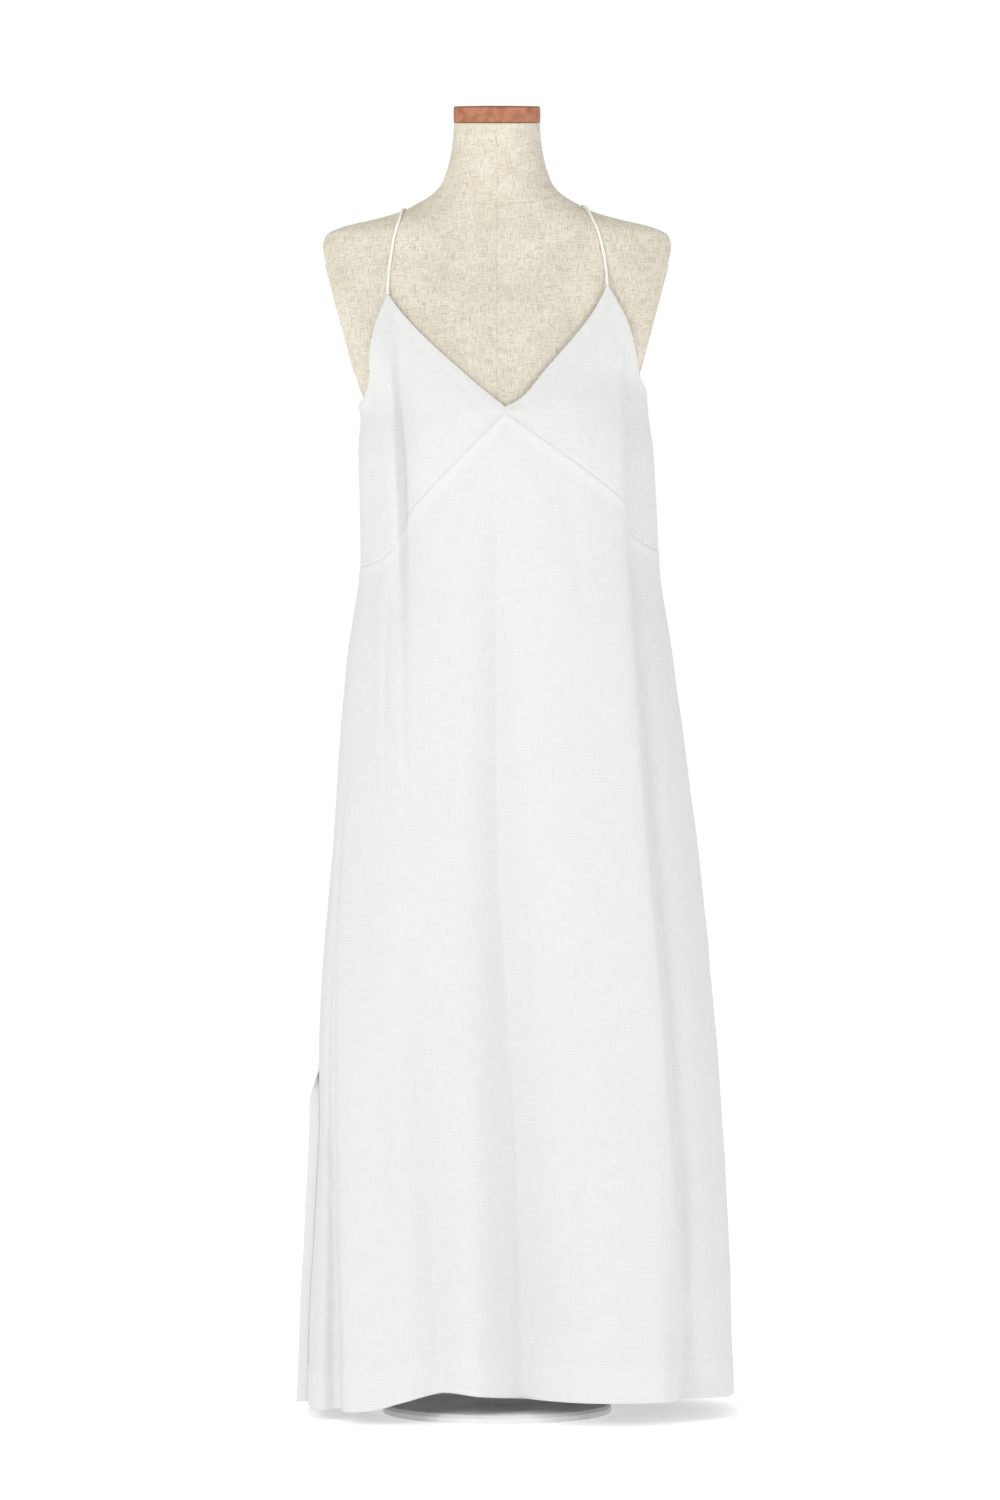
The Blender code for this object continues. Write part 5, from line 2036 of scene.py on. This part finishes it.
@dataclass
class Studio:
    """A pale floor, a white surround, soft lights and the camera, level at mid height."""

    distance: float = 6.0
    eye_height: float = 0.694
    centre_x: float = 0.00315
    half_view: float = 0.7875
    floor_radius: float = 14.0
    floor_rings: int = 24
    floor_around: int = 64
    fill: float = 0.625
    key: float = 86.0
    key_place: tuple = (-3.1, -3.9, 2.6)
    key_size: tuple[float, float] = (1.4, 2.0)
    side: float = 42.0
    side_place: tuple = (3.9, -2.7, 1.4)
    side_size: tuple[float, float] = (1.6, 2.4)
    aim: tuple = (0.0, 0.0, 0.80)

    def floor(self) -> bpy.types.Object:
        """Makes the floor, a level disc of rings whose radius grows with the square of the row.

        Returns:
            The floor.
        """
        around = self.floor_around
        radius = self.floor_radius * np.linspace(0.02, 1.0, self.floor_rings)[:, None] ** 2
        angle = 2.0 * math.pi * np.arange(around) / around
        across, along = radius * np.cos(angle), radius * np.sin(angle)
        points = np.stack([across, along, np.zeros_like(across)], axis=-1).reshape(-1, 3)
        spots = grid_corners(self.floor_rings, around, wrap=True)
        faces = spots.tolist() + [np.arange(around).tolist()]
        return make_object("floor", points, faces, {}, StudioFloor("studio_floor").make())

    def light(
        self, name: str, place: tuple, aim: tuple, size: tuple[float, float], watts: float
    ) -> None:
        """Adds a soft panel light.

        Args:
            name: The light's name.
            place: Where it stands.
            aim: The point it faces.
            size: Its width and height.
            watts: Its power.
        """
        lamp = bpy.data.lights.new(name, "AREA")
        lamp.shape = "RECTANGLE"
        lamp.size, lamp.size_y = size
        lamp.energy = watts
        made = bpy.data.objects.new(name, lamp)
        toward = np.subtract(aim, place)
        yaw = math.atan2(toward[1], toward[0]) - math.pi / 2.0
        pitch = math.atan2(toward[2], math.hypot(toward[0], toward[1])) + math.pi / 2.0
        made.location = place
        made.rotation_euler = (pitch, 0.0, yaw)
        bpy.context.scene.collection.objects.link(made)

    def build(self) -> None:
        """Sets up the floor, surround, lights and camera."""
        scene = bpy.context.scene
        scene.view_settings.view_transform = "Standard"
        world = bpy.data.worlds.new("white_surround")
        world.use_nodes = True
        wire = Wiring(world.node_tree)
        seen = wire.add("ShaderNodeLightPath", {}).outputs["Is Camera Ray"]
        surround = world.node_tree.nodes["Background"]
        surround.inputs["Color"].default_value = (1.0, 1.0, 1.0, 1.0)
        strength = wire.maths("MULTIPLY_ADD", seen, 1.0 - self.fill, self.fill)
        wire.feed(surround.inputs["Strength"], strength)
        scene.world = world
        self.floor()
        self.light("key_light", self.key_place, self.aim, self.key_size, self.key)
        self.light("side_light", self.side_place, self.aim, self.side_size, self.side)
        eye = bpy.data.cameras.new("camera")
        eye.sensor_fit = "VERTICAL"
        eye.angle = 2.0 * math.atan(self.half_view / self.distance)
        holder = bpy.data.objects.new("camera", eye)
        holder.location = (self.centre_x, -self.distance, self.eye_height)
        holder.rotation_euler = (math.pi / 2.0, 0.0, 0.0)
        scene.collection.objects.link(holder)
        scene.camera = holder


# Assembly


def settle(piece: bpy.types.Object, node: str) -> bpy.types.Object:
    """Lets a piece stand for a CAD node and logs its size.

    Args:
        piece: The piece.
        node: The CAD node that it replaces.

    Returns:
        The piece.
    """
    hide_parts(node)
    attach(piece, BODY)
    size = [round(1000.0 * side) for side in piece.dimensions]
    LOG.info("%s stands for %s: %s faces, %s mm", piece.name, node, len(piece.data.polygons), size)
    return piece


def main() -> None:
    """Builds the form and the dress in order, dresses the stand and sets up the studio."""
    logging.basicConfig(level=logging.INFO, format="%(name)s: %(message)s")
    effects = Effects(weave_group(), band_group(), mottle_group())
    Studio().build()

    form = DressForm()
    cover = CoverLinen("cover_linen").make(effects)
    plate_cover = CoverLinen("plate_cover_linen").make(effects)
    settle(form.torso(cover), "form_torso")
    settle(form.arm_plate("plate_cover_left", -1, plate_cover), "arm_plate_left")
    settle(form.arm_plate("plate_cover_right", 1, plate_cover), "arm_plate_right")
    settle(form.neck_cap(CapLeather("cap_leather").make(effects)), "neck_cap")
    enamel = PaleEnamel("stand_enamel").make(effects)
    for node in ("stand_base", "stand_pole"):
        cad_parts[node].material_slots[0].material = enamel
        LOG.info("%s keeps its solid and gets its enamel", node)

    dress = Dress(form, Draping(), effects)
    left = settle(dress.cup("left_cup", LEFT_CUP), "cup_left")
    right = settle(dress.cup("right_cup", RIGHT_CUP), "cup_right")
    skirt = settle(dress.skirt_front(), "skirt_front")
    back = settle(dress.back_panel(), "back_panel")
    left_strap = dress.strap("left_strap", LEFT_GUIDES, LEFT_CUP, False)
    right_strap = dress.strap("right_strap", RIGHT_GUIDES, RIGHT_CUP, True)
    settle(left_strap, "strap_left")
    settle(right_strap, "strap_right")


if __name__ == "__main__":
    main()
